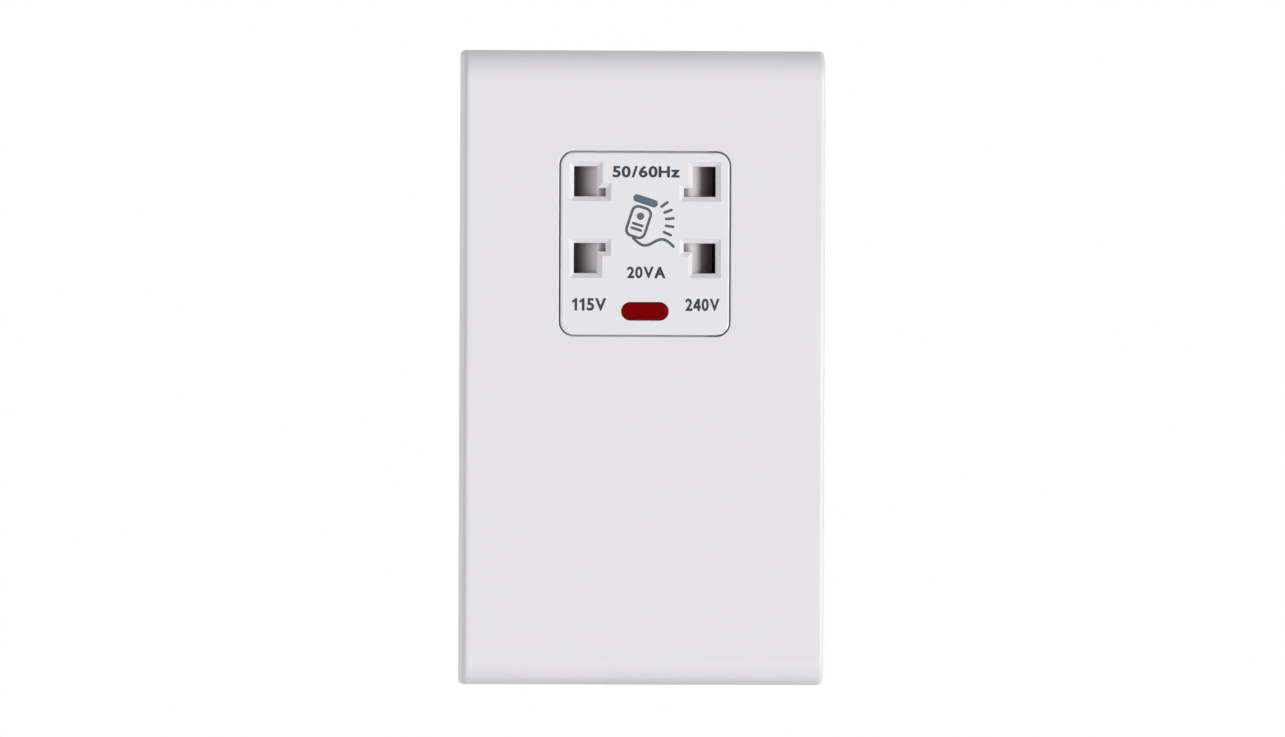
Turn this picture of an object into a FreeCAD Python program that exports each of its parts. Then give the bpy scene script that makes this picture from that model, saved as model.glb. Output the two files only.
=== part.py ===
"""Dual-voltage shaver socket as a parametric FreeCAD document.

Frame in millimetres: +X to the right as seen from the front, +Z up, and the front faces -Y.
The wall is the plane Y = 0, and the origin lies midway between the two wall-fixing holes.
"""
import FreeCAD, Part
import math
import os
import Sketcher

# Driving sizes in millimetres: alias, value, meaning.
SIZES = [
    ("plate_height", 146.0, "front plate, top to bottom"),
    ("plate_width", 84.0, "front plate, side to side at the wall"),
    ("plate_wall", 2.2, "wall of the front plate"),
    ("roll_radius", 6.7, "outer radius of the rolled top and bottom edges"),
    ("side_taper", 0.3, "draft of each end wall over its depth"),
    ("plate_edge", 1.2, "rounding of the end edges of the plate"),
    ("window_edge", 0.3, "rounding of the window rim"),
    ("hook_offset", 24.0, "snap hooks, from the middle of the plate"),
    ("hook_length", 12.0, "snap hook, along the edge"),
    ("hook_depth", 1.4, "snap hook, front to back"),
    ("hook_bite", 1.0, "snap hook, overlap behind the chassis edge"),
    ("hook_fit", 0.3, "clearance round a snap hook"),
    ("pry_width", 7.0, "pry slot in the foot of the plate, along the edge"),
    ("pry_depth", 1.5, "pry slot, front to back"),
    ("face_width", 39.0, "outlet face, side to side"),
    ("face_height", 42.0, "outlet face, top to bottom"),
    ("face_corner", 3.0, "corner radius of the outlet face"),
    ("face_centre", 28.5, "middle of the outlet face above the origin"),
    ("face_gap", 0.35, "gap between outlet face and window"),
    ("face_proud", 0.3, "outlet face in front of the plate"),
    ("face_wall", 2.0, "front wall of the outlet face"),
    ("face_skirt", 1.6, "side walls of the outlet face"),
    ("face_edge", 0.45, "rounding of the outlet face rim"),
    ("face_margin", 6.5, "flange of the outlet face beyond its sides"),
    ("face_flange", 2.0, "thickness of that flange"),
    ("stack_gap", 0.3, "gap between flange and front plate"),
    ("carrier_lip", 1.5, "thickness of the carrier lip"),
    ("chassis_flange", 3.0, "thickness of the chassis plate"),
    ("socket_rise", 5.5, "middle of the pin openings above the middle of the face"),
    ("column_pitch", 27.4, "distance between the two columns of openings"),
    ("hole_width", 5.4, "pin opening, side to side"),
    ("hole_height", 6.95, "pin opening, top to bottom"),
    ("hole_reach", 5.35, "near edge of a pin opening from the socket middle"),
    ("notch_width", 2.0, "blade notch, side to side"),
    ("notch_height", 1.95, "blade notch, top to bottom"),
    ("hole_bevel", 1.1, "bevel round each pin opening"),
    ("lens_length", 11.05, "lens window, side to side"),
    ("lens_height", 4.3, "lens window, top to bottom"),
    ("lens_drop", 15.55, "lens below the middle of the face"),
    ("lens_fit", 0.08, "clearance round the lens"),
    ("lens_recess", 0.15, "lens behind the face"),
    ("lens_edge", 0.35, "rounding of the lens front"),
    ("lens_lip", 1.0, "lens lip beyond its window"),
    ("lens_lip_wall", 0.9, "thickness of the lens lip"),
    ("floor_height", 0.5, "carrier floor in front of the wall plane"),
    ("slide_gap", 0.25, "clearance of a shutter, front and back"),
    ("shutter_cover", 0.5, "shutter beyond the edge of an opening"),
    ("ramp_depth", 4.4, "fall of a shutter ramp"),
    ("ramp_gap", 0.25, "outer end of a ramp inside its opening"),
    ("web_height", 4.3, "front to back depth of a shutter web"),
    ("peg_diameter", 2.6, "spring peg on a shutter"),
    ("peg_length", 2.6, "length of a spring peg"),
    ("spring_diameter", 4.0, "outer diameter of the spring"),
    ("spring_wire", 0.5, "wire of the spring"),
    ("spring_turns", 6.0, "turns of the spring"),
    ("rail_height", 2.4, "guide rail above the carrier floor"),
    ("rail_wall", 1.2, "thickness of the guide rail"),
    ("guide_gap", 0.3, "clearance between shutter and guide"),
    ("carrier_depth", 12.0, "carrier behind the wall plane"),
    ("carrier_wall", 2.0, "side and rear walls of the carrier"),
    ("carrier_fit", 0.3, "carrier inside the chassis window"),
    ("chamber_room", 0.3, "contact chamber beyond its opening"),
    ("leaf_room", 1.2, "room for the contact leaf in a chamber"),
    ("leaf_strip", 0.4, "thickness of a contact leaf"),
    ("leaf_width", 5.6, "width of a contact leaf"),
    ("leaf_fit", 0.1, "clearance round a contact leaf"),
    ("leaf_bend", 0.35, "inner bend radius of a contact leaf"),
    ("leaf_drop", 1.6, "height of the front bend of a contact"),
    ("leaf_start", 1.0, "front bend behind the carrier floor"),
    ("leaf_stop", 1.2, "leaf tip in front of the chamber end"),
    ("leaf_press", 1.2, "leaf tip from the near edge of an opening"),
    ("tail_length", 3.5, "contact tail behind the carrier"),
    ("link_strip", 0.5, "thickness of the common link"),
    ("link_width", 3.0, "width of the common link"),
    ("lamp_diameter", 4.5, "neon lamp"),
    ("lamp_length", 10.0, "glass body of the neon lamp"),
    ("lamp_rest", 0.4, "neon lamp above the carrier floor"),
    ("lamp_fit", 0.1, "clearance round lamp and resistor"),
    ("saddle_offset", 3.2, "lamp saddles from the middle"),
    ("saddle_wall", 1.4, "thickness of a lamp saddle"),
    ("resistor_diameter", 2.3, "lamp resistor"),
    ("resistor_length", 6.4, "body of the lamp resistor"),
    ("resistor_rise", 4.1, "lamp resistor above the lens middle"),
    ("wire_diameter", 0.6, "bare wire of lamp and resistor"),
    ("wire_length", 2.2, "bare wire at each end"),
    ("plate_gap", 1.8, "chassis inside the front plate"),
    ("chassis_corner", 3.0, "corner radius of the chassis plate"),
    ("rim_height", 2.0, "stiffening rim in front of the chassis plate"),
    ("rim_wall", 1.6, "thickness of that rim"),
    ("fixing_pitch", 120.6, "distance between the wall-fixing holes"),
    ("fixing_hole", 4.2, "diameter of a wall-fixing hole"),
    ("fixing_seat", 9.0, "diameter of the raised seat round that hole"),
    ("seat_height", 1.0, "raised seat in front of the chassis plate"),
    ("screw_rise", 16.0, "outlet screws above and below the face middle"),
    ("screw_shank", 2.5, "outlet screw"),
    ("screw_head", 4.6, "countersunk head of an outlet screw"),
    ("screw_fit", 0.05, "clearance of a screw in its boss"),
    ("screw_clear", 0.25, "clearance of a screw in a through hole"),
    ("boss_wall", 1.4, "wall round a screw in a boss"),
    ("boss_length", 5.0, "outlet screw boss behind the chassis plate"),
    ("drive_width", 0.7, "drive recess of a screw"),
    ("drive_depth", 0.9, "depth of a drive recess"),
    ("core_drop", 27.0, "middle of the transformer below the origin"),
    ("core_leg_width", 8.0, "outer leg of the lamination"),
    ("core_stack", 20.0, "thickness of the lamination stack"),
    ("core_rest", 2.0, "lamination stack behind the wall plane"),
    ("core_shank", 3.0, "core screw"),
    ("core_head", 5.6, "head of a core screw"),
    ("core_head_height", 2.0, "height of that head"),
    ("core_post", 3.0, "screw post in front of the chassis plate"),
    ("cradle_gap", 0.4, "gap between cradle and laminations"),
    ("cradle_wall", 1.6, "wall of the transformer cradle"),
    ("cradle_height", 6.0, "cradle behind the wall plane"),
    ("rib_offset", 12.0, "stiffening ribs from the middle"),
    ("rib_wall", 1.5, "thickness of a stiffening rib"),
    ("former_clearance", 0.25, "clearance of the former on the core"),
    ("former_wall", 0.9, "tube and flanges of the former"),
    ("former_gap", 0.4, "gap between former and outer legs"),
    ("coil_build", 5.4, "thickness of a winding"),
    ("coil_corner", 2.5, "corner radius of a winding"),
    ("coil_margin", 1.1, "clearance of the coil in the chassis"),
    ("tape_strip", 0.25, "thickness of the winding tape"),
    ("tape_margin", 0.8, "bare winding beside the tape"),
    ("cutout_width", 5.0, "thermal cut-out, side to side"),
    ("cutout_height", 12.0, "thermal cut-out, top to bottom"),
    ("cutout_depth", 2.6, "thermal cut-out, front to back"),
    ("cutout_edge", 0.5, "rounding of the thermal cut-out"),
    ("cutout_rise", 0.0, "thermal cut-out above the coil middle"),
    ("terminal_width", 7.0, "terminal pillar, side to side"),
    ("terminal_depth", 7.4, "terminal pillar, front to back"),
    ("terminal_height", 8.0, "terminal pillar, top to bottom"),
    ("terminal_rise", 8.0, "middle of the terminals above the socket middle"),
    ("terminal_bore", 3.4, "wire bore of a terminal"),
    ("terminal_edge", 0.4, "rounding of a terminal pillar"),
    ("barrier_wall", 1.2, "barriers and base of the terminal block"),
    ("barrier_fit", 0.05, "clearance of a terminal between barriers"),
    ("barrier_margin", 0.8, "terminal block beyond a terminal"),
    ("clamp_shank", 3.0, "terminal screw"),
    ("clamp_head", 5.2, "head of a terminal screw"),
    ("clamp_head_height", 1.8, "height of that head"),
    ("clamp_reach", 1.6, "terminal screw inside its pillar"),
    ("lead_diameter", 1.3, "insulated internal lead"),
    ("lead_bend", 3.0, "bend radius of a lead"),
    ("lead_stand", 4.0, "lead behind the contact tails"),
    ("lead_fall", 6.0, "height at which the leads turn to the coil"),
    ("lead_offset", 1.5, "supply leads from the middle"),
    ("lead_spread", 1.35, "two leads of a coil from its middle"),
    ("lead_entry", 3.4, "leads at the coil, behind the laminations"),
]

os.makedirs("parts", exist_ok=True)
doc = FreeCAD.newDocument("shaver_socket")
sheet = doc.addObject("Spreadsheet::Sheet", "sizes")
nodes = []


class Size:
    """A length worked out from the sheet: the expression that binds it, and its value now."""

    def __init__(self, text, value):
        self.text = text
        self.value = value

    @staticmethod
    def of(thing):
        """Return thing as a Size, so that plain numbers can join the arithmetic."""
        if isinstance(thing, Size):
            return thing
        return Size(f"{float(thing):.6g}", float(thing))

    def __add__(self, other):
        other = Size.of(other)
        return Size(f"({self.text} + {other.text})", self.value + other.value)

    def __sub__(self, other):
        other = Size.of(other)
        return Size(f"({self.text} - {other.text})", self.value - other.value)

    def __mul__(self, other):
        other = Size.of(other)
        return Size(f"({self.text} * {other.text})", self.value * other.value)

    def __truediv__(self, other):
        other = Size.of(other)
        return Size(f"({self.text} / {other.text})", self.value / other.value)

    def __neg__(self):
        return Size(f"(-1 * {self.text})", -self.value)

    def root(self):
        """Return the square root."""
        return Size(f"sqrt({self.text})", math.sqrt(self.value))


class Sheet:
    """The driving sizes as attributes, each one bound to its cell."""

    def __init__(self, rows):
        for number, (alias, value, meaning) in enumerate(rows, 1):
            sheet.set(f"A{number}", meaning)
            sheet.set(f"B{number}", str(value))
            sheet.setAlias(f"B{number}", alias)
            setattr(self, alias, Size(f"sizes.{alias}", value))


d = Sheet(SIZES)
doc.recompute()

ZERO = Size.of(0)
TOUCH = 1e-4

# Planes from the wall to the front, along Y.
chassis_front = -d.chassis_flange
lip_front = chassis_front - d.carrier_lip
flange_front = lip_front - d.face_flange
plate_inside = flange_front - d.stack_gap
plate_front = plate_inside - d.plate_wall
face_front = plate_front - d.face_proud
face_inside = face_front + d.face_wall
floor_front = -d.floor_height
chamber_end = d.carrier_depth - d.carrier_wall

# Outlet face and its openings, along X and Z.
face_half_width = d.face_width / 2
face_half_height = d.face_height / 2
cavity_half_width = face_half_width - d.face_skirt
cavity_half_height = face_half_height - d.face_skirt
flange_half_width = face_half_width + d.face_margin
flange_half_height = face_half_height + d.face_margin
socket_middle = d.face_centre + d.socket_rise
lens_middle = d.face_centre - d.lens_drop
hole_outer_x = (d.column_pitch + d.hole_width) / 2
hole_inner_x = (d.column_pitch - d.hole_width) / 2
notch_inner_x = hole_inner_x - d.notch_width
hole_far = d.hole_reach + d.hole_height
screw_x = face_half_width + d.face_margin / 2

# Shutters and their guides.
shutter_front = face_inside + d.slide_gap
shutter_rear = floor_front - d.slide_gap
web_front = shutter_rear - d.web_height
web_middle = (shutter_rear + web_front) / 2
shutter_near = d.hole_reach - d.shutter_cover
shutter_far = hole_far + d.shutter_cover

# Contacts.
chamber_near = d.hole_reach - d.chamber_room
chamber_far = hole_far + d.leaf_room
leaf_back = chamber_far - d.leaf_fit
leaf_middle_x = (notch_inner_x + hole_outer_x) / 2
tail_end = d.carrier_depth + d.tail_length
link_rear = tail_end + d.link_strip

# Transformer: the leg and the coil run along X.
core_middle = -d.core_drop
core_rear = d.core_rest + d.core_stack
stack_middle = d.core_rest + d.core_stack / 2
core_half_width = d.core_leg_width * 2.5
core_half_height = d.core_leg_width * 3
core_screw_x = core_half_width - d.core_leg_width / 2
core_screw_rise = core_half_height - d.core_leg_width / 2
former_half_length = d.core_leg_width * 1.5 - d.former_clearance
tube_half_depth = d.core_stack / 2 + d.former_clearance
tube_half_height = d.core_leg_width + d.former_clearance
coil_inner_depth = tube_half_depth + d.former_wall
coil_inner_height = tube_half_height + d.former_wall
coil_half_depth = coil_inner_depth + d.coil_build
coil_half_height = coil_inner_height + d.coil_build
flange_coil_depth = d.core_stack / 2 + d.core_leg_width - d.former_gap
flange_coil_height = d.core_leg_width * 2 - d.former_gap
coil_length = (former_half_length * 2 - d.former_wall * 4) / 3
coil_pitch = coil_length + d.former_wall
tape_rear = stack_middle + coil_half_depth + d.tape_strip
tape_top = core_middle + coil_half_height + d.tape_strip

# Terminals on the rear of the carrier.
terminal_front = d.carrier_depth + d.barrier_wall
terminal_rear = terminal_front + d.terminal_depth
terminal_x = d.terminal_width / 2 + d.barrier_wall / 2 + d.barrier_fit
terminal_middle = socket_middle + d.terminal_rise
terminal_bottom = terminal_middle - d.terminal_height / 2
terminal_top = terminal_middle + d.terminal_height / 2
bore_y = terminal_front + d.terminal_depth / 2


def bind(thing, prop, size):
    """Bind one property of a document object to the sheet."""
    thing.setExpression(prop, Size.of(size).text)


def new_body(name):
    """Start a sub-part as a PartDesign body, and list it for writing."""
    body = doc.addObject("PartDesign::Body", name)
    body.Label = name
    nodes.append(body)
    return body


def pair(point):
    """Return a sketch point as two Sizes."""
    return Size.of(point[0]), Size.of(point[1])


def polygon(points):
    """Return a closed loop of straight segments."""
    points = [pair(point) for point in points]
    return [("line", p, q, None) for p, q in zip(points, points[1:] + points[:1])]


def box_loop(left, right, low, high):
    """Return a rectangle from its four sides."""
    return polygon([(left, low), (right, low), (right, high), (left, high)])


def round_box(middle, half_width, half_height, radius):
    """Return a rectangle with round corners about a middle point."""
    x, y = pair(middle)
    half_width, half_height, radius = Size.of(half_width), Size.of(half_height), Size.of(radius)
    left, right = x - half_width, x + half_width
    low, high = y - half_height, y + half_height
    return [
        ("line", (left + radius, low), (right - radius, low), None),
        ("arc", (right - radius, low), (right, low + radius), (right - radius, low + radius)),
        ("line", (right, low + radius), (right, high - radius), None),
        ("arc", (right, high - radius), (right - radius, high), (right - radius, high - radius)),
        ("line", (right - radius, high), (left + radius, high), None),
        ("arc", (left + radius, high), (left, high - radius), (left + radius, high - radius)),
        ("line", (left, high - radius), (left, low + radius), None),
        ("arc", (left, low + radius), (left + radius, low), (left + radius, low + radius)),
    ]


def pill(middle, length, height):
    """Return a slot outline with half-round ends."""
    x, y = pair(middle)
    half, radius = length / 2 - height / 2, height / 2
    left, right = x - half, x + half
    return [
        ("line", (left, y - radius), (right, y - radius), None),
        ("arc", (right, y - radius), (right, y + radius), (right, y)),
        ("line", (right, y + radius), (left, y + radius), None),
        ("arc", (left, y + radius), (left, y - radius), (left, y)),
    ]


def circle(middle, radius):
    """Return a full circle as a loop."""
    return [("circle", pair(middle), Size.of(radius), None)]


def hold(sketch, kind, shape, point, size):
    """Fix one coordinate of a sketch point from the origin, by an expression."""
    index = sketch.addConstraint(Sketcher.Constraint(kind, -1, 1, shape, point, size.value))
    sketch.renameConstraint(index, f"size_{index}")
    sketch.setExpression(f"Constraints.size_{index}", size.text)


def draw_circle(sketch, middle, radius):
    """Draw one circle held by its middle and radius."""
    x, y = middle
    centre = FreeCAD.Vector(x.value, y.value, 0)
    shape = sketch.addGeometry(Part.Circle(centre, FreeCAD.Vector(0, 0, 1), radius.value))
    hold(sketch, "DistanceX", shape, 3, x)
    hold(sketch, "DistanceY", shape, 3, y)
    index = sketch.addConstraint(Sketcher.Constraint("Radius", shape, radius.value))
    sketch.renameConstraint(index, f"size_{index}")
    sketch.setExpression(f"Constraints.size_{index}", radius.text)


def draw_arc(sketch, start, end, centre):
    """Draw one anticlockwise arc, with its centre held along the shorter side of its chord."""
    x, y = centre
    angles = []
    for px, py in (start, end):
        angles.append(math.atan2(py.value - y.value, px.value - x.value))
    if angles[1] <= angles[0]:
        angles[1] += 2 * math.pi
    radius = math.hypot(start[0].value - x.value, start[1].value - y.value)
    whole = Part.Circle(FreeCAD.Vector(x.value, y.value, 0), FreeCAD.Vector(0, 0, 1), radius)
    shape = sketch.addGeometry(Part.ArcOfCircle(whole, angles[0], angles[1]))
    chord_x = abs(end[0].value - start[0].value)
    chord_y = abs(end[1].value - start[1].value)
    if chord_x < chord_y:
        hold(sketch, "DistanceX", shape, 3, x)
    else:
        hold(sketch, "DistanceY", shape, 3, y)


def draw(sketch, loop):
    """Draw a closed loop, each corner held from the origin by expressions."""
    if loop[0][0] == "circle":
        draw_circle(sketch, loop[0][1], loop[0][2])
        return
    first = sketch.GeometryCount
    for kind, start, end, centre in loop:
        if kind == "line":
            a = FreeCAD.Vector(start[0].value, start[1].value, 0)
            b = FreeCAD.Vector(end[0].value, end[1].value, 0)
            sketch.addGeometry(Part.LineSegment(a, b))
        else:
            draw_arc(sketch, start, end, centre)
    count = len(loop)
    for step in range(count):
        here, after = first + step, first + (step + 1) % count
        sketch.addConstraint(Sketcher.Constraint("Coincident", here, 2, after, 1))
    for step, (kind, start, end, centre) in enumerate(loop):
        hold(sketch, "DistanceX", first + step, 1, start[0])
        hold(sketch, "DistanceY", first + step, 1, start[1])


def new_sketch(body, name, role, offset, loops):
    """Add a sketch on one of the body's own origin planes, moved along its normal."""
    sketch = body.newObject("Sketcher::SketchObject", name)
    plane = next(item for item in body.Origin.OriginFeatures if item.Role == role)
    sketch.AttachmentSupport = (plane, [""])
    sketch.MapMode = "FlatFace"
    bind(sketch, "AttachmentOffset.Base.z", offset)
    for loop in loops:
        draw(sketch, loop)
    return sketch


def pad(body, name, role, low, high, loops):
    """Add material between two coordinates along the normal axis of an origin plane."""
    low, high = Size.of(low), Size.of(high)
    start = -high if role == "XZ_Plane" else low
    sketch = new_sketch(body, f"{name}_outline", role, start, loops)
    feature = body.newObject("PartDesign::Pad", name)
    feature.Profile = (sketch, [""])
    bind(feature, "Length", high - low)
    doc.recompute()
    return feature


def pocket(body, name, role, low, high, loops):
    """Remove material between two coordinates along the normal axis of an origin plane."""
    low, high = Size.of(low), Size.of(high)
    start = -low if role == "XZ_Plane" else high
    sketch = new_sketch(body, f"{name}_outline", role, start, loops)
    feature = body.newObject("PartDesign::Pocket", name)
    feature.Profile = (sketch, [""])
    bind(feature, "Length", high - low)
    doc.recompute()
    return feature


def chosen_edges(feature, choose):
    """Return the names of the edges of a feature whose box satisfies a test."""
    names = []
    for number, edge in enumerate(feature.Shape.Edges, 1):
        if choose(edge.BoundBox):
            names.append(f"Edge{number}")
    return names


def fillet(body, name, radius, choose):
    """Round the chosen edges of the body's last feature."""
    base = body.Tip
    feature = body.newObject("PartDesign::Fillet", name)
    feature.Base = (base, chosen_edges(base, choose))
    bind(feature, "Radius", radius)
    doc.recompute()
    return feature


def chamfer(body, name, size, choose):
    """Bevel the chosen edges of the body's last feature at 45 degrees."""
    base = body.Tip
    feature = body.newObject("PartDesign::Chamfer", name)
    feature.Base = (base, chosen_edges(base, choose))
    bind(feature, "Size", size)
    doc.recompute()
    return feature


def at(low, high, size):
    """Say whether a box is flat along one axis and lies at a coordinate."""
    return abs(low - size.value) < TOUCH and abs(high - size.value) < TOUCH


def round_place(box, place):
    """Say whether a box is centred on a point of the XZ plane."""
    x, z = pair(place)
    return abs(box.Center.x - x.value) < TOUCH and abs(box.Center.z - z.value) < TOUCH


def make_front_plate():
    """Clip-on cover: rolled top and bottom, straight ends, a window and snap hooks."""
    body = new_body("front_plate")
    half_rim = d.plate_width / 2
    half_front = half_rim - d.side_taper
    half_height = d.plate_height / 2
    pad(body, "cover_block", "XY_Plane", -half_height, half_height, [polygon([
        (-half_rim, ZERO), (-half_front, plate_front), (half_front, plate_front), (half_rim, ZERO)])])
    fillet(body, "rolled_edges", d.roll_radius,
           lambda box: at(box.YMin, box.YMax, plate_front) and box.ZLength < TOUCH)
    base = body.Tip
    wall = body.newObject("PartDesign::Thickness", "cover_wall")
    rear = [f"Face{number}" for number, face in enumerate(base.Shape.Faces, 1)
            if at(face.BoundBox.YMin, face.BoundBox.YMax, ZERO)]
    wall.Base = (base, rear)
    wall.Reversed = True
    wall.Join = 1
    bind(wall, "Value", d.plate_wall)
    doc.recompute()
    limit = half_front.value - TOUCH
    fillet(body, "end_edges", d.plate_edge,
           lambda box: (box.XMin > limit or box.XMax < -limit) and not at(box.YMin, box.YMax, ZERO))
    window_width = face_half_width + d.face_gap
    window_height = face_half_height + d.face_gap
    pocket(body, "window", "XZ_Plane", plate_front, plate_inside, [round_box(
        (ZERO, d.face_centre), window_width, window_height, d.face_corner + d.face_gap)])
    fillet(body, "window_rim", d.window_edge,
           lambda box: at(box.YMin, box.YMax, plate_front) and abs(box.Center.x) < window_width.value + 1
           and abs(box.Center.z - d.face_centre.value) < window_height.value + 1)
    inside = half_height - d.plate_wall
    reach = d.plate_gap + d.hook_bite
    heel = d.hook_depth / 6
    for level, up in (("top", 1), ("foot", -1)):
        for side, right in (("left", -1), ("right", 1)):
            middle = d.hook_offset * right
            pad(body, f"hook_{level}_{side}", "YZ_Plane",
                middle - d.hook_length / 2, middle + d.hook_length / 2, [polygon([
                    (-d.hook_depth, (inside + d.plate_wall / 2) * up),
                    (-d.hook_depth, (inside - reach) * up),
                    (-heel, (inside - d.hook_fit) * up),
                    (-heel, (inside + d.plate_wall / 2) * up)])])
    pocket(body, "pry_slot", "XZ_Plane", -d.pry_depth, ZERO, [box_loop(
        -d.pry_width / 2, d.pry_width / 2, -half_height, -inside)])


def opening(side, up):
    """Return the stepped outline of one pin opening, with the blade notch at its near inner corner."""
    outer, inner, notch = hole_outer_x * side, hole_inner_x * side, notch_inner_x * side
    near_z = socket_middle + d.hole_reach * up
    step_z = socket_middle + (d.hole_reach + d.notch_height) * up
    far_z = socket_middle + hole_far * up
    return polygon([(outer, near_z), (notch, near_z), (notch, step_z),
                    (inner, step_z), (inner, far_z), (outer, far_z)])


def outlet_screw_places():
    """Return the middles of the four outlet screws."""
    places = []
    for side in (-1, 1):
        for up in (-1, 1):
            places.append((screw_x * side, d.face_centre + d.screw_rise * up))
    return places


def make_outlet_face():
    """Moulded face: island through the window, flange behind it, four bevelled pin openings."""
    body = new_body("outlet_face")
    middle = (ZERO, d.face_centre)
    pad(body, "face_flange", "XZ_Plane", flange_front, lip_front, [round_box(
        middle, flange_half_width, flange_half_height, d.face_corner)])
    pad(body, "face_island", "XZ_Plane", face_front, lip_front, [round_box(
        middle, face_half_width, face_half_height, d.face_corner)])
    fillet(body, "face_rim", d.face_edge, lambda box: at(box.YMin, box.YMax, face_front))
    pocket(body, "face_cavity", "XZ_Plane", face_inside, lip_front, [round_box(
        middle, cavity_half_width, cavity_half_height, d.face_corner - d.face_skirt)])
    pocket(body, "pin_openings", "XZ_Plane", face_front, face_inside, [
        opening(-1, 1), opening(-1, -1), opening(1, 1), opening(1, -1)])
    chamfer(body, "opening_bevels", d.hole_bevel,
            lambda box: at(box.YMin, box.YMax, face_front)
            and notch_inner_x.value - TOUCH < abs(box.Center.x) < hole_outer_x.value + TOUCH)
    pocket(body, "lens_window", "XZ_Plane", face_front, face_inside, [pill(
        (ZERO, lens_middle), d.lens_length, d.lens_height)])
    shank = d.screw_shank / 2 + d.screw_clear
    pocket(body, "screw_holes", "XZ_Plane", flange_front, lip_front, [
        circle(place, shank) for place in outlet_screw_places()])
    chamfer(body, "screw_seats", (d.screw_head - d.screw_shank) / 2 - d.screw_clear,
            lambda box: at(box.YMin, box.YMax, flange_front) and any(
                round_place(box, place) for place in outlet_screw_places()))


def make_neon_lens():
    """Pill-shaped lens with a lip behind the face wall."""
    body = new_body("neon_lens")
    middle = (ZERO, lens_middle)
    front = face_front + d.lens_recess
    pad(body, "lens_lip", "XZ_Plane", face_inside, face_inside + d.lens_lip_wall, [pill(
        middle, d.lens_length + d.lens_lip * 2, d.lens_height + d.lens_lip * 2)])
    pad(body, "lens_body", "XZ_Plane", front, face_inside + d.lens_lip_wall, [pill(
        middle, d.lens_length - d.lens_fit * 2, d.lens_height - d.lens_fit * 2)])
    fillet(body, "lens_rim", d.lens_edge, lambda box: at(box.YMin, box.YMax, front))


def make_turned(name, depth, height, profile):
    """Turn a half profile about a line along X: points are distance along X and radius."""
    body = new_body(name)
    loop = polygon([(x, radius + depth) for x, radius in profile])
    sketch = new_sketch(body, f"{name}_profile", "XY_Plane", height, [loop])
    axis = sketch.addGeometry(Part.LineSegment(
        FreeCAD.Vector(-1, depth.value, 0), FreeCAD.Vector(1, depth.value, 0)), True)
    sketch.addConstraint(Sketcher.Constraint("Horizontal", axis))
    hold(sketch, "DistanceY", axis, 1, depth)
    hold(sketch, "DistanceX", axis, 1, Size.of(-1))
    hold(sketch, "DistanceX", axis, 2, Size.of(1))
    feature = body.newObject("PartDesign::Revolution", f"{name}_turn")
    feature.Profile = (sketch, [""])
    feature.ReferenceAxis = (sketch, ["Axis0"])
    feature.Angle = 360
    doc.recompute()
    return body


def make_lamp():
    """Glass neon lamp with its wires, and the series resistor beside it."""
    half = d.lamp_length / 2
    radius = d.lamp_diameter / 2
    wire = d.wire_diameter / 2
    crown = radius / 2
    tip = half + d.wire_length
    lamp_y = floor_front - d.lamp_rest - radius
    body = make_turned("neon_lamp", lamp_y, lens_middle, [
        (-tip, ZERO), (tip, ZERO), (tip, wire), (half, wire), (half - crown, radius),
        (-half + crown / 3, radius), (-half, radius - crown / 3), (-half, wire), (-tip, wire)])
    fillet(body, "lamp_dome", crown / 2, lambda box: at(box.XMin, box.XMax, half - crown))
    half = d.resistor_length / 2
    radius = d.resistor_diameter / 2
    tip = half + d.wire_length
    neck = radius / 4
    waist = d.resistor_length / 4
    resistor_y = floor_front - d.lamp_fit - radius
    make_turned("lamp_resistor", resistor_y, lens_middle + d.resistor_rise, [
        (-tip, ZERO), (tip, ZERO), (tip, wire), (half, wire), (half, radius - neck), (half - neck, radius),
        (waist, radius), (waist - neck, radius - neck), (-waist + neck, radius - neck), (-waist, radius),
        (-half + neck, radius), (-half, radius - neck), (-half, wire), (-tip, wire)])


def make_shutter(name, side):
    """Shutter of one column: two ramps joined by a web, and a peg for the spring."""
    body = new_body(name)
    outer = (hole_outer_x - d.ramp_gap) * side
    crest = hole_inner_x * side
    inner = (notch_inner_x - d.shutter_cover) * side
    profile = [(outer, shutter_rear), (outer, shutter_front + d.ramp_depth), (crest, shutter_front),
               (inner, shutter_front), (inner, shutter_rear)]
    pad(body, "ramp_upper", "XY_Plane", socket_middle + shutter_near, socket_middle + shutter_far,
        [polygon(profile)])
    pad(body, "web", "XZ_Plane", web_front, shutter_rear, [box_loop(
        (cavity_half_width - d.slide_gap) * side, crest,
        socket_middle - shutter_near, socket_middle + shutter_near)])
    pad(body, "ramp_lower", "XY_Plane", socket_middle - shutter_far, socket_middle - shutter_near,
        [polygon(profile)])
    tip = crest - d.peg_length * side
    low, high = (crest, tip) if side < 0 else (tip, crest)
    pad(body, "spring_peg", "YZ_Plane", low, high, [circle(
        (web_middle, socket_middle), d.peg_diameter / 2)])


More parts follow.
